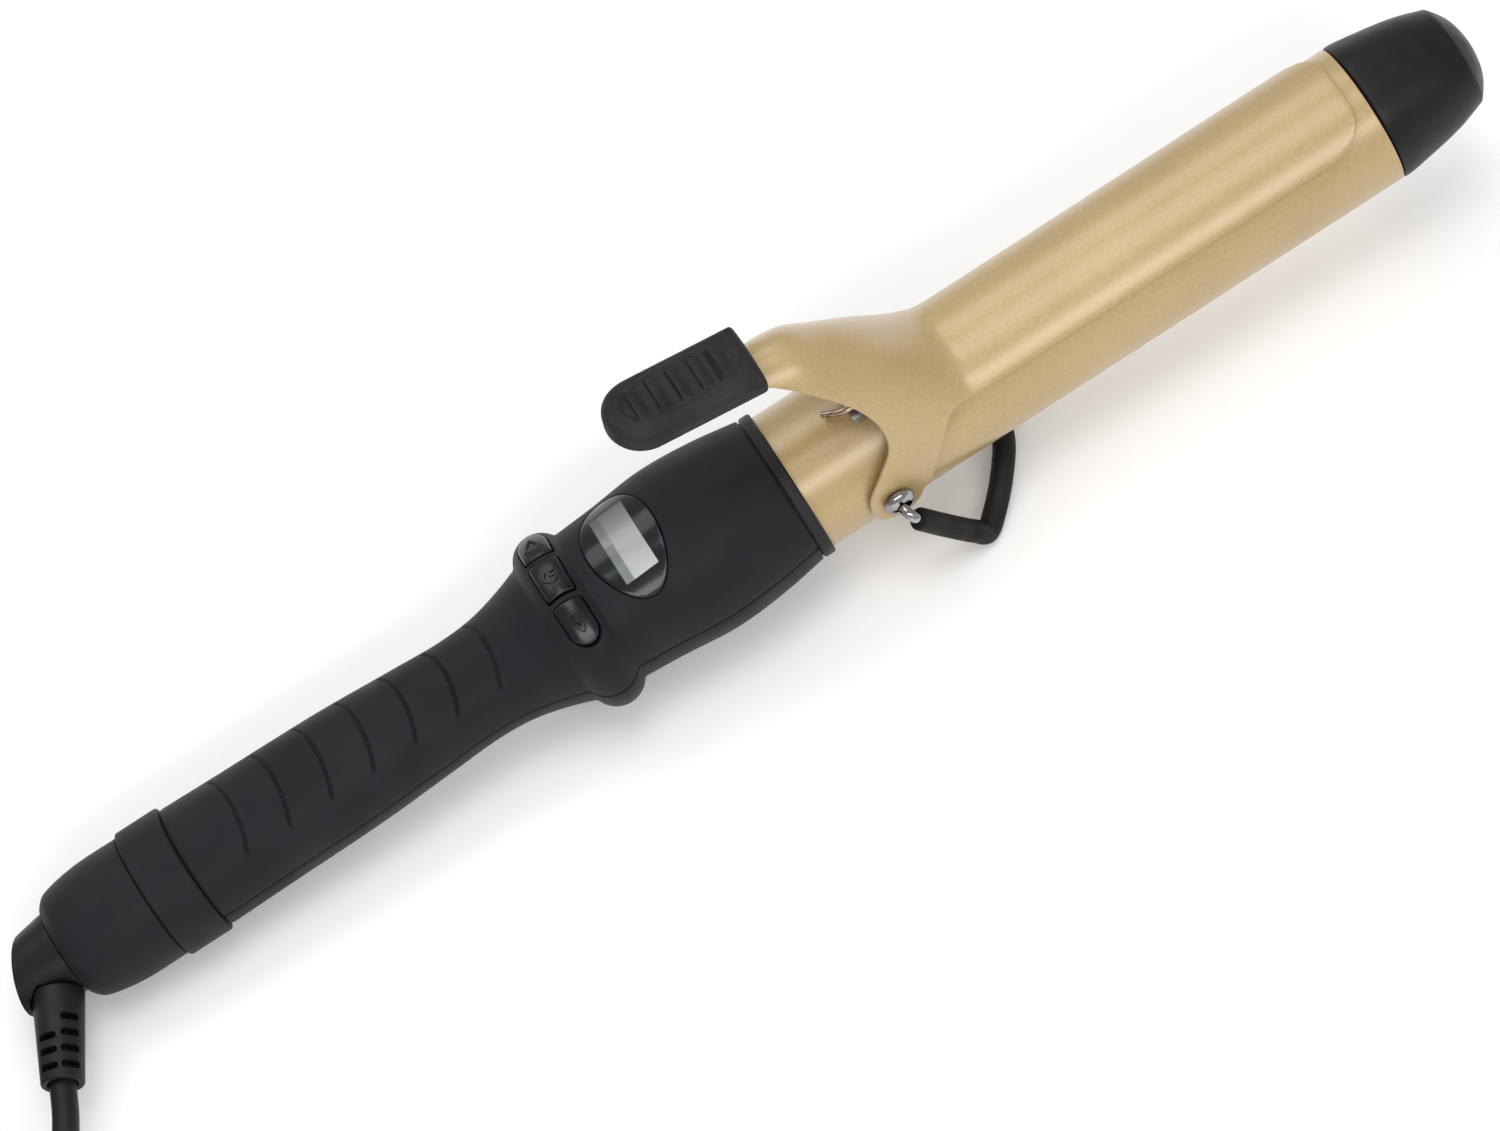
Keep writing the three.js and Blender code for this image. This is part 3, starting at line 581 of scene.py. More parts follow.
def champagne_paint():
    """Satin paint with fine flakes: cells that each catch the light a little differently."""
    paint = Finish("champagne_gold_paint", tone(186, 158, 116), 0.4, 0.12)
    paint.shader.inputs["Coat Weight"].default_value = 0.7
    paint.shader.inputs["Coat Roughness"].default_value = 0.26
    cells = paint.node("TexVoronoi", {"Vector": paint.place(), "Scale": FLAKES_PER_METRE})
    flakes = paint.spread(cells.outputs["Color"], 0, 1, 0, 1)
    cloudy = paint.spread(paint.noise(40, 3), 0.3, 0.7, 0, 0.35)
    speck = paint.node("Math", {0: flakes, 1: cloudy}, operation="ADD")
    share = paint.spread(speck.outputs[0], 0, 1.35, 0, 1)
    paint.link(paint.between(share, tone(156, 130, 86), tone(180, 154, 107)), "Base Color")
    paint.link(paint.spread(flakes, 0, 1, 0.34, 0.46), "Roughness")
    paint.relief(flakes, 0.006, 0.5)
    paint.relief(paint.noise(260, 2), 0.03, 0.25)
    return paint


gold_paint = champagne_paint()
print("gold paint:", len(gold_paint.tree.nodes), "nodes")


# %% Metals
def plated(name, dark, light, low, high, stretch=(1, 1, 1)):
    """Bare or plated metal with faint drawing marks along one way."""
    metal = Finish(name, light, high, 1.0)
    metal.mottle(dark, light, 300, 3, stretch)
    metal.gloss_between(low, high, 900, 4, stretch)
    metal.relief(metal.noise(2400, 3, stretch), 0.01, 0.4)
    return metal


chrome = plated("bright_chrome", tone(132, 130, 132), tone(180, 178, 180), 0.04, 0.1)
steel = plated("plain_steel", tone(140, 138, 136), tone(168, 166, 163), 0.28, 0.42, (1, 6, 1))
copper_tones = tone(128, 104, 88), tone(184, 160, 144)
spring_wire = plated("coppered_spring_wire", *copper_tones, 0.1, 0.2, (1, 4, 1))
brass = plated("stamped_brass", tone(188, 150, 78), tone(214, 178, 104), 0.24, 0.38, (1, 5, 1))
grey_tones = tone(168, 170, 173), tone(196, 198, 201)
aluminium = plated("extruded_aluminium", *grey_tones, 0.32, 0.46, (0.1, 6, 6))
print("metals done:", len(bpy.data.materials))


# %% Inside finishes
def speckled(name, dark, light, scale, low, high, depth=0.05):
    """A pressed or fired material whose grain shows as specks."""
    made = Finish(name, light, high)
    made.mottle(dark, light, scale, 6)
    made.gloss_between(low, high, scale)
    made.relief(made.noise(scale * 2, 4), depth, 0.6)
    return made


def solder_mask():
    """Green board lacquer with a paler web of copper tracks under it."""
    board = Finish("solder_mask", tone(38, 96, 52), 0.35)
    web = board.node("TexBrick", {"Vector": board.place(), "Scale": 260.0, "Mortar Size": 0.06})
    board.link(board.between(web.outputs["Fac"], tone(30, 84, 44), tone(58, 124, 68)), "Base Color")
    board.gloss_between(0.3, 0.42, 300)
    board.relief(web.outputs["Fac"], 0.04, 0.5)
    return board


def braided_lead():
    """Glass braid on the inside leads: two crossing sets of fine waves."""
    lead = Finish("braided_lead", tone(214, 208, 198), 0.7)
    weave = lead.node("TexWave", {"Vector": lead.place(), "Scale": 900.0}, bands_direction="DIAGONAL")
    counter = lead.node("TexWave", {"Vector": lead.place(), "Scale": 760.0}, bands_direction="X")
    both = lead.node("Math", {0: weave.outputs["Fac"], 1: counter.outputs["Fac"]}, operation="MAXIMUM")
    lead.link(lead.between(both.outputs[0], tone(180, 172, 160), tone(226, 221, 212)), "Base Color")
    lead.gloss_between(0.6, 0.78, 500)
    lead.relief(both.outputs[0], 0.08, 0.6)
    return lead


ceramic = speckled("fired_ceramic", tone(216, 211, 201), tone(233, 229, 221), 700, 0.5, 0.66)
phenolic = speckled("phenolic_resin", tone(62, 46, 33), tone(86, 66, 50), 500, 0.5, 0.7)
component = speckled("moulded_component", tone(34, 34, 37), tone(44, 44, 48), 900, 0.4, 0.55)
film = speckled("dipped_capacitor", tone(168, 118, 38), tone(198, 146, 58), 260, 0.25, 0.4)
lcd_glass = speckled("display_glass", tone(150, 157, 152), tone(172, 178, 174), 60, 0.1, 0.2, 0.01)
board = solder_mask()
lead = braided_lead()
print("inside finishes done:", len(bpy.data.materials))

# %% [markdown]
# ## Paint for the carried-over pieces
# The heater, the circuit board, the contacts and the wires were modelled well enough in CAD, and they
# keep their shapes. They only need a finish. The record names a material slot for each one, so a
# dictionary from slot to finish dresses all of them in one short loop.

# %% A finish for every slot
FINISH_OF_SLOT = {
    "soft_touch": soft_touch, "gloss_black": gloss_black, "satin_black": satin_black,
    "rubber": rubber_black, "gold_paint": gold_paint, "chrome": chrome, "steel": steel,
    "copper": spring_wire, "brass": brass, "aluminium": aluminium, "ceramic": ceramic,
    "phenolic": phenolic, "board": board, "component": component, "film": film,
    "display": lcd_glass, "lead": lead, "cord": jacket_black,
}
for node, carried in frame["nodes"].items():
    carried.data.materials.clear()
    carried.data.materials.append(FINISH_OF_SLOT[slot_of[node]].material)
    carried.data.polygons.foreach_set("use_smooth", [True] * len(carried.data.polygons))
    carried.data.set_sharp_from_angle(angle=math.radians(35))
print("finishes:", len(bpy.data.materials), "on", len(frame["nodes"]), "nodes")

# %% [markdown]
# ## The cord
# A round black vinyl cord leaves the strain relief, comes down to the table in a loose quarter turn and
# goes off to where its length is stored. A professional iron has a long cord, about nine feet, and the
# part nobody sees is wound into one neat flat coil with the plug lying on it. A rope simulation could
# lay it down, but it would give a slightly different length each time. So the route is a short list
# of given points before and after the coil, and a loop makes the turns: three layers that spiral
# in, out and in again, with one climbing turn between them. A ring carried along that way gives a real
# tube.

# %% Cord route, in millimetres in the level frame of the table
CORD_RADIUS = 2.85
RING_STEP = 2.5  # between the tube's rings
TURN_STEPS = 28  # points in one turn of the coil
COIL_X, COIL_Y, COIL_LIFT = -249, -10, 1
COIL_MIDDLE, COIL_PITCH, COIL_TURNS = 34.2, 5.8, 3.245  # middle radius, cord spacing, turns in a layer
COIL_HALF = COIL_TURNS * COIL_PITCH / 2  # from the middle radius to the outermost turn's centre
PLUG_X, PLUG_HEIGHT = -282, 26.6

relief_way = Vector((-0.388, -0.922, 0)).normalized()
elbow_corner = Vector((-182.5, 0, 0))
RELIEF_START, RELIEF_END = 8.2, 29.2
CORD_STARTS = 9.5, 16, 24  # first points of the cord, inside the relief


def on_table(point):
    """A point of the iron's own frame as millimetres in the level frame."""
    return IRON @ (Vector(point) * MM) / MM


lead_in = [
    (-181.5, -27.5, 12.75), (-184, -33.8, 12.35), (-188.6, -41.3, 11), (-195.5, -47.6, 8.8),
    (-204.5, -51.9, 6.2), (-214.5, -53.5, 4.4), (-224.6, -53.6, 3.85),
]
tail_over = [(24.8, 2, 15.45), (22.9, -10, 17.2), (16.5, -21.5, 19.9), (7.5, -31, 21.4)]
tail_out = [
    (-243.5, -42.3, 21.5), (-251.5, -47, 21.6), (-262, -49, 22), (-272.5, -44.7, 23.5),
    (-279.3, -36.5, 25.4), (PLUG_X, -26.6, PLUG_HEIGHT),
]


def coil_points():
    """The stored turns: spiral layers with a climbing turn at each change of layer."""
    wide, narrow = COIL_MIDDLE + COIL_HALF, COIL_MIDDLE - COIL_HALF
    stages = [
        (COIL_TURNS, wide, narrow, 0), (1, narrow, narrow, 1), (COIL_TURNS, narrow, wide, 0),
        (1, wide, wide, 1), (COIL_TURNS, wide, narrow, 0),
    ]
    points, turned, height = [], 0.0, COIL_LIFT + CORD_RADIUS
    for turns, start, end, climb in stages:
        steps = round(turns * TURN_STEPS)
        for i in range(steps):
            share = i / steps
            angle = -math.pi / 2 - 2 * math.pi * (turned + turns * share)
            radius = start + (end - start) * share
            rise = COIL_PITCH * math.sin(math.pi / 2 * share) * climb
            x = COIL_X + radius * math.cos(angle)
            points.append((x, COIL_Y + radius * math.sin(angle), height + rise))
        turned += turns
        height += COIL_PITCH * climb
    return points


inside_relief = [on_table(elbow_corner + relief_way * reach) for reach in CORD_STARTS]
over = [(COIL_X + x, COIL_Y + y, z) for x, y, z in tail_over]
into_plug = (PLUG_X, -21, PLUG_HEIGHT)
cord_knots = [*inside_relief, *lead_in, *coil_points(), *over, *tail_out, into_plug]
cord_way = through(cord_knots, RING_STEP)


# %% [markdown]
# ## Tie and plug
# The tie is a short rubber strap round the coil, a rounded loop with a thickness. The plug is moulded in
# one piece over the end of the cord: round at the back, flat-sided where fingers grip it, with three
# grooves and two brass blades. A turned body couldn't be flat-sided, so the plug is lofted through
# rounded rectangles that change from round to square.

# %% Tie
STRAP_THICK, STRAP_HALF, STRAP_ROOM = 0.7, 5, 0.3  # room is left between cord and strap


def hoop(loop, thickness, x0, x1):
    """A flat band round a loop in y and z, between two places along x."""
    middle = sum((Vector(point) for point in loop), Vector((0, 0))) / len(loop)
    rings = []
    for x, grow in ((x0, 0), (x0, 1), (x1, 1), (x1, 0)):
        ring = []
        for before, at, after in zip(loop[-1:] + loop[:-1], loop, loop[1:] + loop[:1]):
            run = (Vector(after) - Vector(before)).normalized()
            out = Vector((run.y, -run.x))
            if out.dot(Vector(at) - middle) < 0:
                out = -out
            y, z = Vector(at) + out * thickness * grow
            ring.append((x, y, z))
        rings.append(ring)
    count = len(loop)
    numbers = [range(k * count, (k + 1) * count) for k in range(4)]
    return [point for ring in rings for point in ring], banded([*numbers, numbers[0]])


def tie_strap():
    """A rubber strap round the coil's bundle, on the side away from the plug."""
    half = COIL_HALF + CORD_RADIUS + STRAP_ROOM
    low, high = COIL_LIFT - 0.25, COIL_LIFT + 2 * COIL_PITCH + 2 * CORD_RADIUS + STRAP_ROOM
    y0, y1 = COIL_Y + COIL_MIDDLE - half - STRAP_THICK, COIL_Y + COIL_MIDDLE + half
    loop = fillet([(y0, low), (y1, low), (y1, high), (y0, high)], 2.2, 6)
    strap = hoop(spaced(loop, 1.5), STRAP_THICK, COIL_X - STRAP_HALF, COIL_X + STRAP_HALF)
    return bevelled(bare("tie_strap", strap, LEVEL), 0.2, 2, 60)


tie = fasten(tie_strap(), rubber_black, "cord_tie")

# %% Plug
BLADE_APART, BLADE_HALF, BLADE_START, BLADE_END = 6.35, 0.75, 0.6, 20.8  # apart: from the middle
BLADE_HOLE, BLADE_HOLE_AT = 1.6, 17.2


def superellipse(wide, high, power, count=40):
    """A rounded rectangle or an oval about the origin; a higher power is squarer."""
    loop = []
    for k in range(count):
        c, s = math.cos(2 * math.pi * k / count), math.sin(2 * math.pi * k / count)
        x = math.copysign(abs(c) ** (2 / power), c) * wide
        loop.append((x, math.copysign(abs(s) ** (2 / power), s) * high))
    return loop


def plug_body_shape():
    """A moulded plug, from sections of (place along it, half width, half height, squareness)."""
    sections = [
        (-25.7, 3.4, 3.4, 2), (-25.3, 4.1, 4.1, 2), (-21, 4.4, 4.4, 2), (-17, 6.2, 5.4, 2.2),
        (-13.6, 10, 7, 2.8), (-12, 11.4, 7.7, 3.4), (-10.6, 11.8, 8, 4),
    ]
    for groove in (-9, -6.6, -4.2):
        sections += [(groove - 0.7, 12, 8, 4), (groove, 11.6, 7.3, 4), (groove + 0.7, 12, 8, 4)]
    sections += [(-1, 12, 8, 4.5), (3.6, 12, 8, 5), (4.1, 11.7, 7.7, 5), (4.3, 11.2, 7.2, 5)]
    rings = []
    for y, wide, high, power in sections:
        section = superellipse(wide, high, power)
        rings.append([(PLUG_X + x, y, PLUG_HEIGHT + z) for x, z in section])
    return lofted(rings)


def plug_blade(name, x, height):
    """A flat brass blade with a hole near its tip."""
    low, high = PLUG_HEIGHT - height / 2, PLUG_HEIGHT + height / 2
    block = brick(x - BLADE_HALF, x + BLADE_HALF, BLADE_START, BLADE_END, low, high)
    blade = bare(name, block, LEVEL)
    drill = rod(-3, 3, BLADE_HOLE, start=(x, BLADE_HOLE_AT, PLUG_HEIGHT))
    carve(blade, bare("drill", drill, LEVEL))
    return bevelled(blade, 0.3, 2)


plug_shell = fasten(bare("plug_shell", plug_body_shape(), LEVEL), jacket_black, "plug_body")
blades = [
    fasten(plug_blade("neutral_blade", PLUG_X - BLADE_APART, 7.9), brass, "plug_blade_neutral"),
    fasten(plug_blade("live_blade", PLUG_X + BLADE_APART, 6.35), brass, "plug_blade_live"),
]

# %% Cord
cord = bare("mains_cord", swept(cord_way, CORD_RADIUS, 16), LEVEL)
fasten(cord, jacket_black, "cord_lead", "cord_coil", "cord_tail", rides=False)
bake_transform(cord)

# %% [markdown]
# ## Thin walls with rounded openings
# The handle's shells, the buttons, the display's lens and the clamp's sheet are all thin walls: a curved
# skin of even thickness, with an outer edge and openings. A boolean cut on a fine mesh leaves ragged
# edges, so these are made directly. The wall is drawn flat, as loops and a grid on its own unrolled
# surface, and filled with triangles. Every point is then lifted to the real curved skin, once for
# the outside and once for the inside. Along each loop a few extra rings roll the edge over, so it
# is rounded like a moulded or pressed edge.

# %% Loops on the drawing
from mathutils.kdtree import KDTree


def wound(loop, clockwise):
    """The loop turned the wanted way round."""
    points = [Vector(point) for point in loop]
    area = sum(a.x * b.y - b.x * a.y for a, b in zip(points, points[1:] + points[:1]))
    return points if (area < 0) == clockwise else points[::-1]


def within(points, loops):
    """Which points lie inside the first loop and outside the others."""
    odd = np.zeros(len(points), bool)
    u, v = points[:, 0], points[:, 1]
    for loop in loops:
        for a, b in zip(loop, loop[1:] + loop[:1]):
            if a.y != b.y:
                at = a.x + (v - a.y) * (b.x - a.x) / (b.y - a.y)
                odd ^= ((a.y > v) != (b.y > v)) & (u < at)
    return odd


square = [Vector(corner) for corner in ((0, 0), (2, 0), (2, 2), (0, 2))]
print("inside a square:", within(np.array([(1.0, 1.0), (3.0, 1.0)]), [square]).tolist())

# %% Filling the drawing
SAME_POINT = 1e-7  # points nearer than this are one


def drawn_in(skin, loop, distance):
    """A loop moved into the wall by a real distance, measured on the curved skin."""
    step = 0.02
    shifted = []
    for before, at, after in zip(loop[-1:] + loop[:-1], loop, loop[1:] + loop[:1]):
        du = (skin(at.x + step, at.y, 0) - skin(at.x - step, at.y, 0)) / (2 * step)
        dv = (skin(at.x, at.y + step, 0) - skin(at.x, at.y - step, 0)) / (2 * step)
        run = after - before
        inward = du.cross(dv).normalized().cross((du * run.x + dv * run.y).normalized())
        e, f, g = du.dot(du), du.dot(dv), dv.dot(dv)
        p, q = du.dot(inward), dv.dot(inward)
        area = e * g - f * f
        shifted.append(at + Vector((g * p - f * q, e * q - f * p)) * (distance / area))
    return shifted


def open_grid(columns, rows, inner):
    """The grid points inside the loops that aren't too close to them."""
    tree = KDTree(sum(len(loop) for loop in inner))
    for loop in inner:
        for point in loop:
            tree.insert((point.x, point.y, 0), 0)
    tree.balance()
    grid = np.array([(u, v) for u in columns for v in rows])
    grid = grid[within(grid, inner)]
    gap = 0.45 * min(np.min(np.diff(columns)), np.min(np.diff(rows)))
    return [Vector(p) for p in grid.tolist() if tree.find((p[0], p[1], 0))[2] > gap]


def triangulated(grid, inner):
    """The drawing filled with triangles: its points, its triangles, and each loop's point numbers."""
    flat, edges, ranges = list(grid), [], []
    for loop in inner:
        first, count = len(flat), len(loop)
        ranges.append(range(first, first + count))
        edges += [(first + i, first + (i + 1) % count) for i in range(count)]
        flat += loop
    filled = delaunay_2d_cdt(flat, edges, [], 0, SAME_POINT)
    drawn, triangles, sources = filled[0], filled[2], filled[3]
    number = {source: i for i, group in enumerate(sources) for source in group}
    centres = np.array([[sum(drawn[i][k] for i in t) / 3 for k in (0, 1)] for t in triangles])
    kept = [tuple(t) for t, good in zip(triangles, within(centres, inner)) if good]
    return drawn, kept, [[number[i] for i in places] for places in ranges]


print("triangles in the square:", len(triangulated([Vector((1, 1))], [square])[1]))


# %% The wall itself
def cleaned(points, faces):
    """Only the points that a face uses."""
    used = sorted({i for face in faces for i in face})
    new = {old: i for i, old in enumerate(used)}
    return [points[i] for i in used], [tuple(new[i] for i in face) for face in faces]


def wall(skin, loops, columns, rows, thickness, edge, rings=3):
    """A thin wall: skin(u, v, depth) places a point, loops bound it, and its edges are rolled over."""
    rolls = [math.pi / 2 * k / rings for k in range(rings + 1)]
    loops = [wound(loop, clockwise=i > 0) for i, loop in enumerate(loops)]
    borders = [[drawn_in(skin, loop, edge * (1 - math.cos(a))) for a in rolls] for loop in loops]
    inner = [border[-1] for border in borders]
    drawn, triangles, numbered = triangulated(open_grid(columns, rows, inner), inner)
    count = len(drawn)
    points = [skin(p.x, p.y, depth) for depth in (0, thickness) for p in drawn]
    faces = triangles + [tuple(count + i for i in reversed(t)) for t in triangles]
    drops = [edge * (1 - math.sin(a)) for a in rolls[:-1]]  # how far below a skin each ring lies
    steps = [(k, drops[k]) for k in reversed(range(rings))]
    steps += [(k, thickness - drops[k]) for k in range(rings)]
    for border, on_skin in zip(borders, numbered):
        bands = [on_skin]
        for k, depth in steps:
            bands.append(range(len(points), len(points) + len(border[k])))
            points += [skin(p.x, p.y, depth) for p in border[k]]
        bands.append([count + i for i in on_skin])
        faces += banded(bands)
    return cleaned(points, faces)


def stations(*stretches):
    """Places along a line, from (start, end, step) stretches."""
    places = [np.linspace(a, b, max(2, round((b - a) / step) + 1)) for a, b, step in stretches]
    return np.unique(np.round(np.concatenate(places), 4))


print("stations from 0 to 2:", stations((0, 2, 0.5)).tolist())

# %% [markdown]
# ## The handle
# The handle is two soft-touch shells that meet in a level parting line. From the tail it runs as a
# slightly waisted grip with seven fine grooves across its back, rises into a half-round bar that
# carries the buttons, and swells into the head that holds the display. It could be sculpted from a
# subdivided box, but a turned surface fits all of that exactly: one outline gives the radius along
# the iron, and each shell is half a turn of it. The grooves are pressed into the same surface, so
# they are real shape and not only shading.

# %% Outline of the handle
NECK_RADIUS, NECK_BACK, GRIP_BACK, HEAD_FRONT = 12.2, -172, -147.9, -2.2
RIDGE_X, RIDGE_BASE, RIDGE_RADIUS = -52.3, 14.4, 6.1
UNROLLED = 15  # radius at which the handle's wall is drawn flat
PARTING = 0.15  # half of the gap between the shells
SHELL, SHELL_EDGE = 1.9, 0.35
OUTER = 0.3  # detail is pressed only into points less deep than this in a wall


def handle_outline():
    """(x, radius) along the outside: neck, waisted grip, button ridge, head."""
    grip = [(-147.2, 14.05), (-134, 13.8), (-109, 13.4), (-92, 12.5), (-79.5, 11.9), (-71, 12.5)]
    head = [(-46.6, 17.6), (-38, 18.2), (-25, 19.4), (-12.5, 18.6), (HEAD_FRONT, 17)]
    neck = [(NECK_BACK, NECK_RADIUS), (GRIP_BACK - 0.1, NECK_RADIUS), (GRIP_BACK, 13.6), (-147.6, 13.95)]
    bar = arc(RIDGE_X, RIDGE_BASE, RIDGE_RADIUS, 160, 32, 26)
    rising = through([*grip, (-63, 14.5), (-58.4, 16.1)], 1)
    line = [*neck, *rising, *bar, *through(head, 1)]
    return fillet(line, 1.2, 3, closed=False)


outline = handle_outline()
OUTLINE_X = [point[0] for point in outline]
OUTLINE_R = [point[1] for point in outline]
GROOVES = [-135.5 + 10.4 * k for k in range(7)]
GROOVE_DEPTH, GROOVE_HALF = 0.55, 0.45


def handle_radius(x):
    return float(np.interp(x, OUTLINE_X, OUTLINE_R))


def groove_depth(x, angle):
    """Seven fine grooves that bow towards the tip and fade out on the flanks."""
    reach = math.radians(52)
    if abs(angle) > reach or not GROOVES[0] - 1 < x < GROOVES[-1] + 4:
        return 0.0
    bow = 3.2 * (1 - (angle / reach) ** 2) - 1.0
    fade = min(1.0, (reach - abs(angle)) / math.radians(9))
    nearest = min(abs(x - place - bow) for place in GROOVES)
    return GROOVE_DEPTH * fade * max(0.0, 1 - (nearest / GROOVE_HALF) ** 2)


def handle_skin(middle, smooth=False):
    """The handle's wall about a middle angle: 0 is the top, half a turn is the underside."""

    def skin(x, v, depth):
        angle = v / UNROLLED
        radius = handle_radius(x) - depth
        if middle == 0 and depth < OUTER and not smooth:
            radius -= groove_depth(x, angle)
        angle += middle
        return Vector((x, radius * math.sin(angle), radius * math.cos(angle)))

    return skin


def unroll(points, radius=handle_radius, drawn=UNROLLED):
    """A plan outline, seen from above, drawn on the unrolled handle or on another turned surface."""
    return [Vector((x, math.asin(y / radius(x)) * drawn)) for x, y in points]


def shell_edge():
    half = UNROLLED * math.pi / 2 - PARTING
    corners = [(NECK_BACK, -half), (HEAD_FRONT, -half), (HEAD_FRONT, half), (NECK_BACK, half)]
    return spaced(fillet(corners, 0.8), 0.9)


print("handle:", len(outline), "outline points,", len(GROOVES), "grooves")

# %% [markdown]
# ## Openings and shells
# The buttons and the display need openings, and the screws need wells. Each is an outline seen from
# straight above or below, because that is how the mould's halves meet it. The same outline, a little
# smaller, will bound the key or the lens that fills it, so every gap comes out even.

# %% Openings for the buttons and the display
BUTTON_HALF = 3.3  # of a button, along the iron
KEY_X = RIDGE_X + 0.3
LENS_X, LENS_HALF, LENS_WIDE = -35.6, 8.35, 12.9


def button_plan(way, grow=0.0):
    """Seen from above: square in the middle, round-ended at the sides."""
    half = BUTTON_HALF + grow
    back, front = KEY_X - half, KEY_X + half
    if way == 0:
        reach = 4.7 + grow
        corners = [(back, -reach), (front, -reach), (front, reach), (back, reach)]
        return spaced(fillet(corners, 0.7), 0.35)
    inner, shoulder = way * (6.4 - grow), way * 11.4
    end = [
        (KEY_X + half * math.cos(a), shoulder + way * (3.8 + grow) * math.sin(a))
        for a in np.linspace(0, math.pi, 19)
    ]
    return spaced(fillet([(back, inner), (front, inner), *end], 0.6), 0.35)


def lens_plan(grow=0.0):
    """The display's egg: a touch fuller towards the tip."""
    loop = []
    for a in np.linspace(0, 2 * math.pi, 97)[:-1]:
        wide = (LENS_WIDE + grow) * (1 + 0.02 * math.cos(a))
        loop.append((LENS_X + (LENS_HALF + grow) * math.cos(a), wide * math.sin(a)))
    return loop


print("points in the plans of the keys:", [len(button_plan(way)) for way in (-1, 0, 1)])


# %% Upper shell
def upper_shell_shape():
    openings = [unroll(button_plan(way, 0.25)) for way in (-1, 0, 1)] + [unroll(lens_plan(0.12))]
    columns = stations(
        (NECK_BACK + 1, -148.5, 4), (GRIP_BACK - 0.1, -146.8, 0.25), (-146, -138, 1.5),
        (-137.5, -69, 0.22), (-68, -60, 0.7), (-59.5, -45.5, 0.4), (-45, -26, 0.7), (-25, -2.8, 1),
    )
    rows = stations((-23, 23, 0.6))
    return wall(handle_skin(0), [shell_edge(), *openings], columns, rows, SHELL, SHELL_EDGE)


fasten(bare("upper_shell", upper_shell_shape()), soft_touch, "housing_top")

# %% Lower shell
SCREW_X = (-21, -76, -135)
SEAT = -6.3  # height of the screw heads' seats
POST_RADIUS, WELL, PILOT = 3.7, 2.95, 1.6


def post(x, bore, low, high):
    """A hollow post that stands in a shell."""
    return spun(tube_outline(low, high, bore, POST_RADIUS), 32, (0, 0, 1), (x, 0, 0), closed=True)


def lower_shell_shape():
    """The underside, with a screw well under each post."""
    wells = [unroll(circle(x, WELL - 0.05)) for x in SCREW_X]
    columns = stations(
        (NECK_BACK + 1, -148.5, 4), (GRIP_BACK - 0.1, -146.8, 0.25), (-146, -70, 1.4),
        (-69, -60, 0.7), (-59.5, -45.5, 0.5), (-45, -2.8, 1.2),
    )
    rows = stations((-23, 23, 0.9))
    bodies = [wall(handle_skin(math.pi), [shell_edge(), *wells], columns, rows, SHELL, SHELL_EDGE)]
    for x in SCREW_X:
        bodies.append(post(x, WELL, 0.6 - handle_radius(x), SEAT))
        bodies.append(post(x, PILOT, SEAT, -0.2))
    return joined(*bodies)


fasten(bare("lower_shell", lower_shell_shape()), soft_touch, "housing_bottom")

# %% [markdown]
# ## Buttons
# The three keys are thin glossy caps that stand a hair proud of the bar. They are walls on a slightly
# larger bar than the shell's, outlined by the same plans as their openings, so the gap around each one
# is even. Moulded keys like these carry their symbols as fine raised lines: an outlined triangle that
# points outward on each side key, and the usual power mark, a broken ring and a bar, on the middle one.
# Text objects could be joined on, but lifting the wall near the symbol's lines leaves one clean skin.

# %% Key symbols
SYMBOL_RISE, LINE_HALF, LINE_SLOPE = 0.4, 0.4, 0.12
RING_RADIUS, RING_GAP = 1.35, math.radians(35)
FAR_AWAY = 1.0  # a distance at which a symbol's line no longer shows


def to_line(x, y, a, b):
    """How far a point is from a straight stretch."""
    start, run, at = Vector(a), Vector(b) - Vector(a), Vector((x, y))
    share = min(1.0, max(0.0, (at - start).dot(run) / run.length_squared))
    return (at - start - run * share).length


def key_symbol(way):
    """Distance from a point of the cap, seen from above, to the lines of its symbol."""
    corners = [(-1.85, way * 9.1), (1.85, way * 9.1), (0, way * 12.6)]

    def triangle(x, y):
        return min(to_line(x, y, a, b) for a, b in zip(corners, corners[1:] + corners[:1]))

    def power(x, y):
        in_gap = abs(math.atan2(y, x)) < RING_GAP
        ring = FAR_AWAY if in_gap else abs(math.hypot(x, y) - RING_RADIUS)
        return min(ring, to_line(x, y, (0.3, 0), (2.1, 0)))

    return triangle if way else power


print("middle of the power mark is", round(key_symbol(0)(0, 0), 2), "mm from its nearest line")

# %% Buttons
BUTTON_DRAWN = 20  # radius at which the caps are drawn flat
CAP_PROUD, CAP_WALL, CAP_EDGE = 0.45, 2.2, 0.45
FINE = 0.12  # grid step, small enough to carry the symbols


def cap_radius(x):
    return RIDGE_BASE + math.sqrt((RIDGE_RADIUS + CAP_PROUD) ** 2 - (x - RIDGE_X) ** 2)


def cap_skin(way):
    """The wall of a cap, with its symbol raised on the outside."""
    symbol = key_symbol(way)

    def skin(x, v, depth):
        angle = v / BUTTON_DRAWN
        radius = cap_radius(x) - depth
        if depth < OUTER:
            away = symbol(x - KEY_X, radius * math.sin(angle))
            radius += SYMBOL_RISE * min(1.0, max(0.0, (LINE_HALF - away) / LINE_SLOPE))
        return Vector((x, radius * math.sin(angle), radius * math.cos(angle)))

    return skin


def button_cap(way):
    loop = unroll(button_plan(way), cap_radius, BUTTON_DRAWN)
    drawn = [point.y for point in loop]
    columns = stations((KEY_X - BUTTON_HALF, KEY_X + BUTTON_HALF, FINE))
    rows = stations((min(drawn), max(drawn), FINE))
    return wall(cap_skin(way), [loop], columns, rows, CAP_WALL, CAP_EDGE, 4)


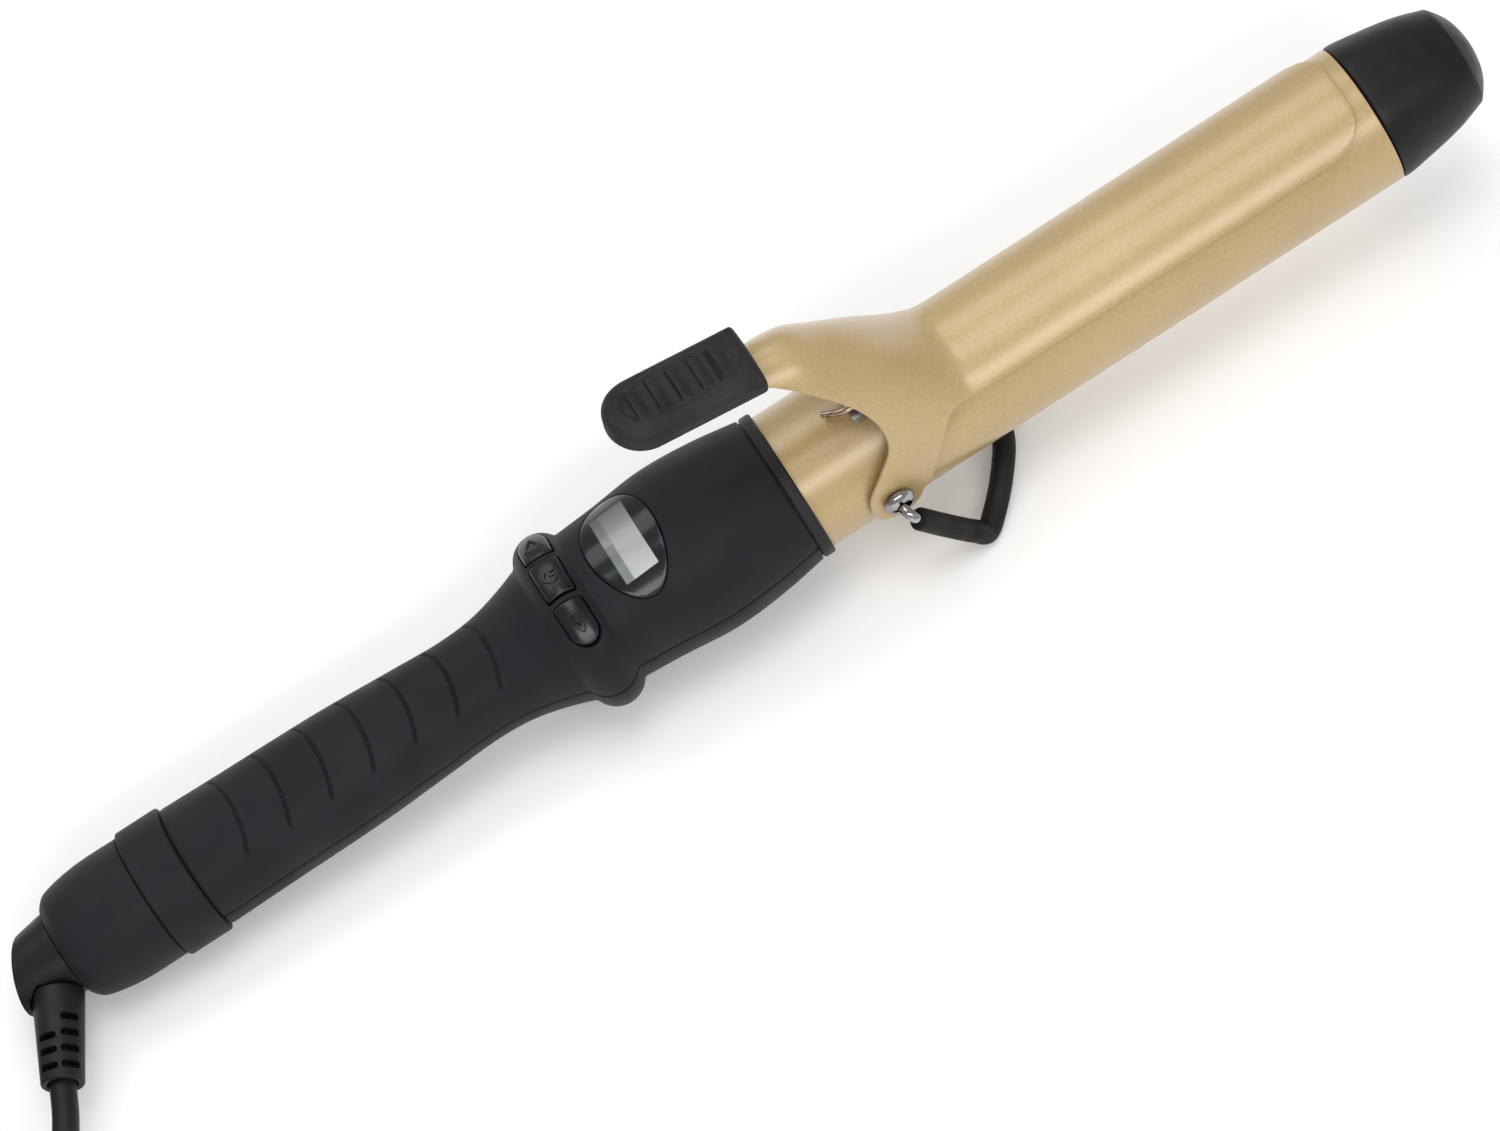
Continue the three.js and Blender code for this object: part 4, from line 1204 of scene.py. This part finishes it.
for name, way in (("down", -1), ("power", 0), ("up", 1)):
    fasten(bare(name + "_key", button_cap(way)), gloss_black, "button_" + name, sharp=60)

# %% [markdown]
# ## Display
# The display sits behind one oval lens of smoked plastic that follows the head's crown. Only a window
# in it is clear, and the light grey liquid-crystal panel shows through there. The panel is blank, as it
# is on an iron that is switched off. Its grey carries painted shading, lighter on the near half and
# darker on the far half, and painted shade along a strip at its back. The smoked plastic is painted
# lighter and browner towards its sides, a painted reflection. Window, shading and reflection are masks
# over the lens's own place in the handle.


# %% Display lens
WINDOW_BACK, WINDOW_FRONT, WINDOW_HALF = -39.6 * MM, -31.4 * MM, 8.8 * MM
SHADE_STRIP_END = -37.5 * MM  # the painted shade strip along the window's back edge ends here
SOFT_EDGE = 0.12 * MM


def lens_plastic():
    """Smoked gloss with a clear window over a grey display, with painted shade and a painted reflection."""
    glass = Finish("smoked_display_lens", tone(14, 13, 14), 0.2, **{"Specular IOR Level": 0.25})
    glass.shader.inputs["Coat Weight"].default_value = 0.2
    glass.shader.inputs["Coat Roughness"].default_value = 0.12
    parts = glass.node("SeparateXYZ", {"Vector": glass.place()})
    x, y = parts.outputs["X"], parts.outputs["Y"]

    def math_node(operation, a, b=0.0):
        return glass.node("Math", {0: a, 1: b}, operation=operation).outputs[0]

    side = math_node("ABSOLUTE", y)
    from_back = math_node("SUBTRACT", x, WINDOW_BACK)
    from_front = math_node("SUBTRACT", WINDOW_FRONT, x)
    from_sides = math_node("SUBTRACT", WINDOW_HALF, side)
    room = math_node("MINIMUM", math_node("MINIMUM", from_back, from_front), from_sides)
    window = glass.spread(room, 0, SOFT_EDGE, 0, 1)
    # painted shading across the window: the grey is lighter on the near half and darker on the far half
    share = glass.spread(y, -WINDOW_HALF, WINDOW_HALF, 0, 1)
    panel_grey_and_painted_shading = glass.between(share, tone(178, 179, 177), tone(92, 93, 94))
    # painted shade: a darker strip along the window's back edge, full on the near half, half as strong on the far
    # half
    front = glass.spread(x, SHADE_STRIP_END - 0.2 * MM, SHADE_STRIP_END + 0.2 * MM, 0, 1)
    far_half = glass.spread(y, -0.3 * MM, 0.3 * MM, 0, 0.5)
    shade = glass.between(math_node("MAXIMUM", front, far_half), tone(118, 130, 122), tone(255, 255, 255))
    colours = {"Factor": 0.7, 6: panel_grey_and_painted_shading, 7: shade}
    panel_and_painted_shade = glass.node("Mix", colours, data_type="RGBA", blend_type="MULTIPLY")
    # painted reflection: the smoked plastic turns lighter and browner towards its sides
    smoke_and_painted_reflection = glass.between(glass.spread(side, 8 * MM, 12.5 * MM, 0, 1), tone(13, 12, 13), tone(34, 27, 24))
    glass.link(glass.between(window, smoke_and_painted_reflection, panel_and_painted_shade.outputs[2]), "Base Color")
    glass.gloss_between(0.18, 0.24, 90)
    return glass


def lens_shape():
    loop = unroll(lens_plan())
    columns = stations((LENS_X - LENS_HALF, LENS_X + LENS_HALF, 0.6))
    rows = stations((-13, 13, 0.6))
    return wall(handle_skin(0, smooth=True), [loop], columns, rows, 1.8, 0.3)


fasten(bare("display_window", lens_shape()), lens_plastic(), "display_lens")

# %% [markdown]
# ## Collar, barrel and tip
# These are lathe work, so each is one outline spun about the iron's axis. A cylinder with bevels would
# come close, but an outline also gives the lips, steps and hollows that show at an angle. The collar
# is a moulded ring that closes the handle's mouth, and its bevel keeps the coarse spark-eroded grain
# of its mould. The barrel is a painted aluminium tube with a cross hole for the pivot screws. The tip
# is a cool-touch nose that plugs the tube: a small lip stands over the barrel's end, and a long soft
# cone runs out to a rounded point that fingers can hold.


# %% Collar
def grainy_plastic():
    grainy = moulded_plastic("spark_eroded_black", tone(20, 19, 21), tone(38, 37, 40), 0.4, 0.6, 0.05)
    cells = grainy.node("TexVoronoi", {"Vector": grainy.place(), "Scale": 2400.0})
    grainy.relief(cells.outputs["Distance"], 0.12, 0.8)
    return grainy


collar_outline = [(-2.8, 15.95), (-2.8, 16.3), (-1.9, 16.3), (-1.9, 16.75), (-1.5, 17.1)]
collar_outline += [(0.5, 17.1), (0.84, 16.7), (0.84, 15.95)]
collar = bare("front_ring", spun(fillet(collar_outline, 0.25), 128, closed=True))
fasten(collar, grainy_plastic(), "front_collar")

# %% Barrel
BARREL, BORE, BARREL_BACK, BARREL_FRONT = 15.875, 14.4, -12, 142.9
PIVOT_HOLE = 2.3


def barrel_shape():
    tube = tube_outline(BARREL_BACK, BARREL_FRONT, BORE, BARREL)
    made = bare("heated_barrel", spun(fillet(tube, 0.3), 192, closed=True))
    drill = rod(-20, 20, PIVOT_HOLE, axis=(0, 1, 0), start=(PIVOT_X, 0, 0))
    carve(made, bare("drill", drill))
    return made


fasten(barrel_shape(), gold_paint, "barrel")


# %% Tip
def tip_shape():
    """Outside and inside lines of the nose, from the inner pole round to the outer one."""
    inside = through([(166.6, 0), (166, 5), (162, 10), (150, 12.2)], 1)
    lip = fillet([(150, 12.2), (133, 12.2), (133, 14.1), (143.2, 14.1), (143.2, 15.9)], 0.3, closed=False)
    cone = through([(143.2, 15.6), (143.5, 15.9), (150.6, 15.1), (159, 13.5), (165.2, 11.5)], 1)
    nose = through([(165.2, 11.5), (165.9, 10.7), (168, 7.6), (169.2, 3.8), (169.5, 0)], 0.7)
    return spun([*inside[:-1], *lip[:-1], *cone[:-1], *nose], 128)


fasten(bare("cool_tip", tip_shape()), satin_black, "tip_cap", sharp=50)

# %% [markdown]
# ## Clamp
# The clamp is one pressed sheet. Ahead it hugs the barrel as a long blade, cut off at fifty degrees on
# each side with round front corners. Near the handle its crown climbs steeply and the sides reach down
# as two ears over the pivot, then it runs back as a lever whose end hides in a thumb pad. The sheet
# is a wall on one smooth surface: half an ellipse whose height follows the crown, over straight
# flanks. Its trimmed edge is drawn from the side, as the cutting die would see it. A box modelled by
# hand would need many edge loops for the same sweep, and its thickness would be hard to keep even.

# %% Surface of the clamp
CLAMP_RADIUS, EAR_WIDTH, EDGE, CLAMP_FRONT, LEVER_BACK = 17, 17.4, math.radians(50), 139.5, -19
SHEET = 0.85
DIMPLE, DIMPLE_INNER, DIMPLE_OUTER = 0.3, 3.4, 5.2
CROWN = through(
    [(-60, 61.4), (-10, 52.1), (8, 48.7), (15, 46.7), (20, 41.9), (28.5, 32.9), (37, 21.9), (41.5, 17.7),
     (46, 17)], 0.5,
)
CROWN_X, CROWN_Z = [point.x for point in CROWN], [point.y for point in CROWN]


def crown(x):
    """Height of the sheet's crown."""
    return float(np.interp(x, CROWN_X, CROWN_Z))


def eased(x, low, high):
    """A smooth step from 0 to 1 between two places."""
    share = min(1.0, max(0.0, (x - low) / (high - low)))
    return share * share * (3 - 2 * share)


def clamp_width(x):
    return EAR_WIDTH + (CLAMP_RADIUS - EAR_WIDTH) * eased(x, 28, 44)


def clamp_surface(x, v):
    """Outside of the sheet; v runs round it from the crown."""
    turn = v / CLAMP_RADIUS
    if abs(turn) <= math.pi / 2:
        return Vector((x, clamp_width(x) * math.sin(turn), crown(x) * math.cos(turn)))
    drop = (abs(turn) - math.pi / 2) * CLAMP_RADIUS
    return Vector((x, math.copysign(clamp_width(x), turn), -drop))


def clamp_skin(x, v, depth):
    """The sheet's wall, with a shallow dimple round each pivot screw."""
    step = 0.05
    along_x = clamp_surface(x + step, v) - clamp_surface(x - step, v)
    around = clamp_surface(x, v + step) - clamp_surface(x, v - step)
    out = around.cross(along_x).normalized()
    place = clamp_surface(x, v)
    if out.dot(Vector((0, place.y, place.z + 1))) < 0:
        out = -out
    dimple = 0.0
    if abs(place.y) > 15:
        from_screw = math.hypot(x - PIVOT_X, place.z)
        dimple = DIMPLE * (1 - eased(from_screw, DIMPLE_INNER, DIMPLE_OUTER))
    return place - out * (depth + dimple)


print("crown over the pivot:", round(crown(PIVOT_X), 1), "mm")


# %% Edge of the clamp
def drawn_from_side(points):
    """Side-view points (x, z) as points on the unrolled sheet, on its far half."""
    drawn = []
    for x, z in points:
        high = crown(x)
        turn = math.acos(min(1.0, z / high)) if z > 0 else math.pi / 2 - z / CLAMP_RADIUS
        drawn.append(Vector((x, turn * CLAMP_RADIUS)))
    return drawn


def clamp_edge():
    """The far half of the trimmed edge, mirrored to close the loop."""
    corner, side = 9, EDGE * CLAMP_RADIUS
    front = arc(CLAMP_FRONT - corner, side - corner, corner, 0, 90, 12)
    low = CLAMP_RADIUS * math.cos(EDGE)
    saddle = through([(47, low), (42, low + 0.3), (36, 12.6), (31, 8), (26, 0)], 0.6)
    ear = arc(PIVOT_X, 0, 6.2, -24, -180, 24)
    arch = [(11, 0), (12, 4.5), (16.5, 10.5), (20.7, 16), (21.6, 22), (20, 28.5), (16.3, 35.5)]
    arch = through([*arch, (10.5, 42.6), (5, crown(5) - 2.5), (0, crown(0) - 2.1)], 0.8)
    back = [(x, crown(x) - 1.9) for x in (-6, -12, LEVER_BACK + 2)]
    half = [Vector((CLAMP_FRONT, 0)), *[Vector(point) for point in front]]
    half += drawn_from_side([*saddle[:-1], (25.6, -0.8), *ear, *arch[1:], *back])
    half += [Vector((LEVER_BACK, half[-1].y - 2)), Vector((LEVER_BACK, 0))]
    other = [Vector((point.x, -point.y)) for point in half[-2:0:-1]]
    return spaced(half + other, 1.2)


def screw_hole(way):
    """The pivot's hole in the ear on one side."""
    ring = drawn_from_side(circle(PIVOT_X, PIVOT_HOLE))
    return [Vector((point.x, way * point.y)) for point in ring]


columns = stations((LEVER_BACK, 10, 1.4), (10.5, 46, 0.6), (47, CLAMP_FRONT, 1.6))
rows = stations((-33.5, 33.5, 0.8))
sheet = wall(clamp_skin, [clamp_edge(), screw_hole(-1), screw_hole(1)], columns, rows, SHEET, 0.3)
fasten(bare("clamp_sheet", sheet), gold_paint, "clamp_plate", sharp=50)

# %% [markdown]
# ## Thumb pad
# A rubber pad slips over the end of the lever. Its top is gently crowned, its edge is deeply rounded,
# and five cross ribs inside a raised oval line keep a thumb from sliding. Each rib is steep on the
# side that faces the hand. Separate ribs set on a smooth pad would meet it in hard lines, so the pad
# is one thick wall over the lever's slope, and the ribs rise out of its skin.

# %% Thumb pad
PAD_SLOPE = math.atan(0.186)
PAD_LENGTH, PAD_HALF, PAD_THICK, PAD_ROUND = 33, 8.2, 6.6, 2
RIBS = [-26 + 4.8 * k for k in range(5)]
RIB_RISE, LINE_RISE = 0.95, 0.3
OVAL_MIDDLE, OVAL_LONG, OVAL_WIDE = -16.4, 13.6, 5.6
PAD_FRONT, PAD_HEIGHT = 6.2, 47  # where the pad's lower front edge is on the iron
PAD_CROWN = 1.3  # drop of the top from its middle to its sides


def pad_relief(a, b):
    """Ribs and the raised oval line of the pad's top."""
    round_line = abs(math.hypot((a - OVAL_MIDDLE) / OVAL_LONG, b / OVAL_WIDE) - 1) * OVAL_WIDE
    rise = LINE_RISE * (1 - eased(round_line, 0.25, 0.6))
    for rib in RIBS:
        behind = a - (rib - 0.95)
        ends = 1 - eased(abs(b), 3.6, 4.6)
        body = min(eased(behind, 0, 0.35), 1 - eased(behind, 0.8, 3.2))
        groove = min(eased(behind, -0.8, -0.4), 1 - eased(behind, -0.4, 0))
        rise = max(rise, RIB_RISE * body * ends) - 0.3 * groove * ends
    return rise


def pad_skin(a, b, depth):
    """The pad's wall; a runs back from its front end and b across it."""
    height = PAD_THICK - depth
    if depth < PAD_THICK / 2:
        height += (pad_relief(a, b) if depth < OUTER else 0) - PAD_CROWN * (b / PAD_HALF) ** 2
    x = PAD_FRONT + a * math.cos(PAD_SLOPE) + height * math.sin(PAD_SLOPE)
    return Vector((x, b, PAD_HEIGHT - a * math.sin(PAD_SLOPE) + height * math.cos(PAD_SLOPE)))


def pad_shape():
    rear = arc(-PAD_LENGTH + PAD_HALF, 0, PAD_HALF, 90, 270, 40)
    loop = spaced(fillet([(0, -PAD_HALF), (0, PAD_HALF), *rear], 1.1, 6), 0.5)
    columns, rows = stations((-PAD_LENGTH, 0, 0.22)), stations((-PAD_HALF, PAD_HALF, 0.26))
    return wall(pad_skin, [loop], columns, rows, PAD_THICK, PAD_ROUND, 6)


fasten(bare("thumb_pad", pad_shape()), rubber_black, "thumb_rest", sharp=60)

# %% [markdown]
# ## Screws
# Both pivot screws have a domed chrome head with a cross recess, and a socket in its middle where the
# stand's wire hooks in. Three steel pan-head screws, deep in wells under the handle, hold the shells
# together. A head and its shank are one lathe outline. The recess isn't round, so no outline can give
# it: it is cut afterwards with a cross-shaped block. The shank's thread is inside and isn't modelled.

# %% Pivot screws and case screws
PIVOT_RECESS = 4.4, 0.75, 18.75, 21  # length, width, from, to
PAN_RECESS = 2.6, 0.55, -9, -7.7
PAN_HEAD = [(-8.6, 0), (-8.6, 1.9), (-8.35, 2.35), (-7.9, 2.6), (-6.6, 2.6)]
PAN_SHANK = [(-6.6, 1.3), (5.2, 1.3), (6, 0.5), (6, 0)]


def cross_cutter(length, width, low, high):
    """A cross standing on the z axis, to cut a screw's recess."""
    half, thin = length / 2, width / 2
    cross = [
        (thin, thin), (half, thin), (half, -thin), (thin, -thin), (thin, -half), (-thin, -half),
        (-thin, -thin), (-half, -thin), (-half, thin), (-thin, thin), (-thin, half), (thin, half),
    ]
    return slab(cross, low, high)


def screw(name, outline, recess, place, direction, sides=64):
    """A turned screw with a cross recess, standing at a place along a direction."""
    turn = Vector((0, 0, 1)).rotation_difference(Vector(direction))
    made = bare(name, moved(spun(outline, sides, (0, 0, 1)), turn, place))
    carve(made, bare("cutter", moved(recess, turn, place)))
    return made


def pivot_outline():
    """Shank, domed head and socket, by distance from the iron's middle plane."""
    head = [(18.35, 3.4), (18.9, 3.05), (19.35, 2.5), (19.65, 1.95), (19.78, 1.5)]
    stem = [(10.6, 0), (10.6, 1.8), (10.8, 2), (17.75, 2), (17.75, 3.3), (17.85, 3.4)]
    return [*stem, *through(head, 0.2), (18.15, 1.5), (18.15, 0)]


for side, way in (("near", -1), ("far", 1)):
    name, recess = f"pivot_screw_{side}", cross_cutter(*PIVOT_RECESS)
    made = screw(name + "_head", pivot_outline(), recess, (PIVOT_X, 0, 0), (0, way, 0), 96)
    fasten(made, chrome, name, sharp=30)

for number, x in enumerate(SCREW_X, 1):
    name, recess = f"case_screw_{number}", cross_cutter(*PAN_RECESS)
    made = screw(name + "_pan_head", PAN_HEAD + PAN_SHANK, recess, (x, 0, 0), (0, 0, 1))
    fasten(made, steel, name, sharp=30)

# %% [markdown]
# ## Stand
# The stand is one bent wire that hooks into both screw heads and carries a soft black sleeve. It comes
# out level, turns down, runs to a foot on each side and crosses under the barrel. A curve object with a
# round bevel would do for the wire, but its ends would be cut square. Carrying rings along the way lets
# their radius shrink at each end, so the ends are rounded. Where the sleeve rests on the table it is
# pressed flat by a hair, like the tail band behind.

# %% Wire and sleeve
WIRE_RADIUS, WIRE_END, SLEEVE_RADIUS, SLEEVE_END = 1.2, 0.35, 2.5, 0.7


def pressed_flat(made):
    """Stop a piece of the iron at the table's plane."""
    back = IRON.inverted()
    for vertex in made.data.vertices:
        place = IRON @ vertex.co
        if place.z < 0:
            vertex.co = back @ Vector((place.x, place.y, 0))
    return made


def round_ended(way, radius, round_off):
    """Radii along a way that swell from each end as a rounded edge does."""
    way = [Vector(point) for point in way]
    reach = [0.0]
    for a, b in zip(way, way[1:]):
        reach.append(reach[-1] + (b - a).length)
    radii = []
    for at in reach:
        left = max(0.0, round_off - min(at, reach[-1] - at))
        radii.append(radius - round_off + math.sqrt(round_off**2 - left**2))
    return radii


wire_start = [(PIVOT_X, 18.3, 0), (PIVOT_X, 20.9, -0.1), (18.2, 22.5, -1.8)]
sleeve_half = [
    (18.5, 22.55, -2.3), (19, 22.6, -3.3), (23, 22.6, -11.3), (27.6, 22.7, -19.6), (29.9, 22.2, -23.5),
    (33.6, 19.3, -22.9), (39, 14.2, -20.6), (43.7, 7.5, -19.1),
]
sleeve_line = [(x, -y, z) for x, y, z in sleeve_half] + [(45.2, 0, -18.8)] + sleeve_half[::-1]
wire_line = [(x, -y, z) for x, y, z in wire_start] + sleeve_line + wire_start[::-1]

wire_way = through(wire_line, 0.5)
wire = bare("stand_bail", swept(wire_way, round_ended(wire_way, WIRE_RADIUS, WIRE_END), 20))
fasten(wire, chrome, "stand_wire")
sleeve_way = through(sleeve_line, 0.3)
sleeve_radii = round_ended(sleeve_way, SLEEVE_RADIUS, SLEEVE_END)
sleeve = bare("bail_sleeve", swept(sleeve_way, sleeve_radii, 32))
fasten(pressed_flat(sleeve), sleeve_black, "stand_sleeve", sharp=60)

# %% [markdown]
# ## Clamp spring
# Under the saddle, a bent steel bracket on the barrel carries a wound wire spring on a cross pin. One
# leg of the spring lies on the barrel and the other pushes up under the lever.

# %% Bracket
SPRING_X, SPRING_Z = 22.5, 21.2
BRACKET_FOOT = 16.6  # height at which the ears meet the foot


def ear_outline(y):
    """A bracket ear with a round top, as points in one plane."""
    round_top = [(x, y, z) for x, z in arc(SPRING_X, SPRING_Z, 2, 0, 180, 16)]
    return [(24.5, y, BRACKET_FOOT), *round_top, (20.5, y, BRACKET_FOOT)]


def bracket_shape():
    """A bent strip: a foot that follows the barrel, and two ears that hold the pin."""
    foot = []
    for x in (18, 27):
        for lift, ways in ((16.2, 1), (17.1, -1)):
            ring = [(x, y, lift - 0.0006 * y * y) for y in np.linspace(-6.5, 6.5, 15)]
            foot.append(ring[::ways])
    strip = lofted([foot[0] + foot[1], foot[2] + foot[3]])
    ears = [lofted([ear_outline(way * 5.7), ear_outline(way * 6.5)]) for way in (-1, 1)]
    pin_line = [(-7.1, 0), (-7.1, 0.9), (-6.9, 1.2), (6.9, 1.2), (7.1, 0.9), (7.1, 0)]
    pin = spun(pin_line, 32, (0, 1, 0), (SPRING_X, 0, SPRING_Z))
    rivet_line = [(16.9, 0), (16.9, 1.3), (17.3, 1.25), (17.6, 0.8), (17.7, 0)]
    rivets = [spun(rivet_line, 24, (0, 0, 1), (x, 0, 0)) for x in (19.3, 25.7)]
    return joined(strip, *ears, pin, *rivets)


bracket = bevelled(bare("spring_saddle", bracket_shape()), 0.15, 2, 50)
fasten(bracket, steel, "spring_bracket", sharp=35)

# %% Spring
SPRING_RADIUS, SPRING_WIRE, SPRING_TURNS, SPRING_WIDTH = 2.6, 0.7, 4.25, 8
SPRING_STEPS = 20  # points in one turn of the spring
LEVER_TOUCH = 15.5, 1.5, 42.6  # where the spring's end meets the lever


def spring_way():
    """Leg on the barrel, turns about the pin, leg under the lever."""
    steps = SPRING_TURNS * SPRING_STEPS
    coils = []
    for i in range(round(steps) + 1):
        angle = -math.pi / 2 + 2 * math.pi * i / SPRING_STEPS
        x, z = SPRING_X + SPRING_RADIUS * math.cos(angle), SPRING_Z + SPRING_RADIUS * math.sin(angle)
        coils.append((x, -SPRING_WIDTH / 2 + SPRING_WIDTH * i / steps, z))
    fixed_leg = [(13.2, -0.6, 17.2), (17.2, -3.2, 18.1)]
    lever_leg = [(24.2, 3.6, 26), (19.5, 2.4, 35), LEVER_TOUCH]
    return through([*fixed_leg, *coils, *lever_leg], 0.6)


spring = bare("wound_spring", swept(spring_way(), SPRING_WIRE, 12))
fasten(spring, spring_wire, "clamp_spring", rides=False)
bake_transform(spring)

# %% [markdown]
# ## Tail
# The handle's shells are held together at the back by a plain band. Behind it a turned cap closes the
# tail, and a satin elbow turns freely in the cap's mouth. The elbow is a short taper cut off obliquely
# along the cord's way. It could be bent from one tube, but the real one is a straight taper with a slanted
# face, so a turned body and one saw cut give it exactly.

# %% Band and cap
BAND_BACK, BAND_FRONT, BAND_RADIUS, BAND_BORE = -158.4, -148.2, 15, 12.5
CAP_BACK, CAP_FRONT, CAP_SEAT, CAP_LIP = -180, -158.7, -172.3, -177.5
CAP_BORE, CAP_MOUTH = 11, 6.4

band_outline = tube_outline(BAND_BACK, BAND_FRONT, BAND_BORE, BAND_RADIUS)
band = bare("tail_ring", spun(spaced(fillet(band_outline, 0.6, 6), 1.2), 160, closed=True))
fasten(pressed_flat(band), soft_touch, "tail_band", sharp=60)


def cap_shape():
    """A rounded cup with a stepped hollow and a mouth for the elbow's spigot."""
    dome = [(CAP_BACK, 10.4), (-178.3, 12.2), (-175.7, 13.1), (-169, 14.1), (CAP_FRONT, 14.2)]
    hollow = [(CAP_FRONT, BAND_BORE), (CAP_SEAT, BAND_BORE), (CAP_SEAT, CAP_BORE)]
    hollow += [(CAP_LIP, CAP_BORE), (CAP_LIP, CAP_MOUTH), (CAP_BACK, CAP_MOUTH)]
    return spun(fillet([*through(dome, 1), *hollow], 0.4, 4), 128, closed=True)


fasten(bare("tail_cover", cap_shape()), soft_touch, "tail_cap", sharp=50)

# %% Elbow
SAW_CUT = 6.9  # of the cut face from the corner, square to the cord's way
SPIGOT = [
    (-184, 0), (-184, 6.1), (-177.2, 6.1), (-177.2, 8.5), (-175.8, 8.5), (-175.8, 5), (-163, 5), (-163, 0),
]


def elbow_shape():
    """The taper, cut along the cord's way; then its spigot, the relief's socket and the wires' bore."""
    stub = spun([(-196, 0), (-196, 7.9), (-187, 8.3), (-180.3, 9.5), (-180.3, 0)], 96)
    made = bare("swivel_turn", stub)
    aside = Vector((relief_way.y, -relief_way.x, 0))
    heading = math.atan2(aside.y, aside.x)
    turn = Matrix.Translation(elbow_corner) @ Matrix.Rotation(heading, 4, "Z")
    saw = brick(SAW_CUT, SAW_CUT + 60, -30, 30, -20, 20)
    carve(made, bare("saw", moved(saw, turn)))
    bevelled(made, 0.6, 4, 40)
    carve(made, bare("spigot", spun(SPIGOT, 64)), "UNION")
    carve(made, bare("socket", rod(RELIEF_START - 0.3, 40, 5.9, 64, relief_way, elbow_corner)))
    carve(made, bare("bore", rod(-186, -150, 1.5, 24)))
    return made


fasten(elbow_shape(), satin_black, "swivel_elbow", sharp=30)

# %% [markdown]
# ## Strain relief
# Out of the elbow comes a ribbed strain relief: a soft tapering sleeve with short slots cut through on
# alternate sides, so that it bends evenly and the cord never kinks. Slots painted on as a pattern would
# look flat, and the black cord has to show through them, so each one is really cut. With the relief
# made, every piece on the cord exists.

# %% Strain relief
SLOT_HALF, SLOT_THIN = 2.1, 0.8
SLOT_ROWS = {46: (7.5, 11, 14.5, 18), -14: (11.5, 14.7, 18.2)}  # lean in degrees: places along the relief


def relief_slot(reach, lean):
    """A round-ended block that cuts one slot through the relief's wall."""
    aside = Vector((-relief_way.y, relief_way.x, 0))
    out = aside * math.sin(lean) + Vector((0, 0, math.cos(lean)))
    across_slot = relief_way.cross(out)
    corners = [(-SLOT_HALF, -SLOT_THIN), (SLOT_HALF, -SLOT_THIN), (SLOT_HALF, SLOT_THIN)]
    outline = fillet([*corners, (-SLOT_HALF, SLOT_THIN)], 0.75, 6)
    turn = Matrix((across_slot, relief_way, out)).transposed()
    start = elbow_corner + relief_way * (RELIEF_START + reach)
    return bare("slot", moved(slab(outline, 2.9, 7), turn, start))


def relief_shape():
    outline = [(RELIEF_START, 3.2), (RELIEF_START, 5.6), (RELIEF_END, 4.6), (RELIEF_END, 3.2)]
    made = bare("ribbed_relief", spun(fillet(outline, 0.7, 5), 96, relief_way, elbow_corner, closed=True))
    for lean, reaches in SLOT_ROWS.items():
        for reach in reaches:
            for opposite in (0, 180):
                carve(made, relief_slot(reach, math.radians(lean + opposite)))
    return made


relief = fasten(relief_shape(), jacket_black, "strain_relief", sharp=35)
print("declared:", cord.name)
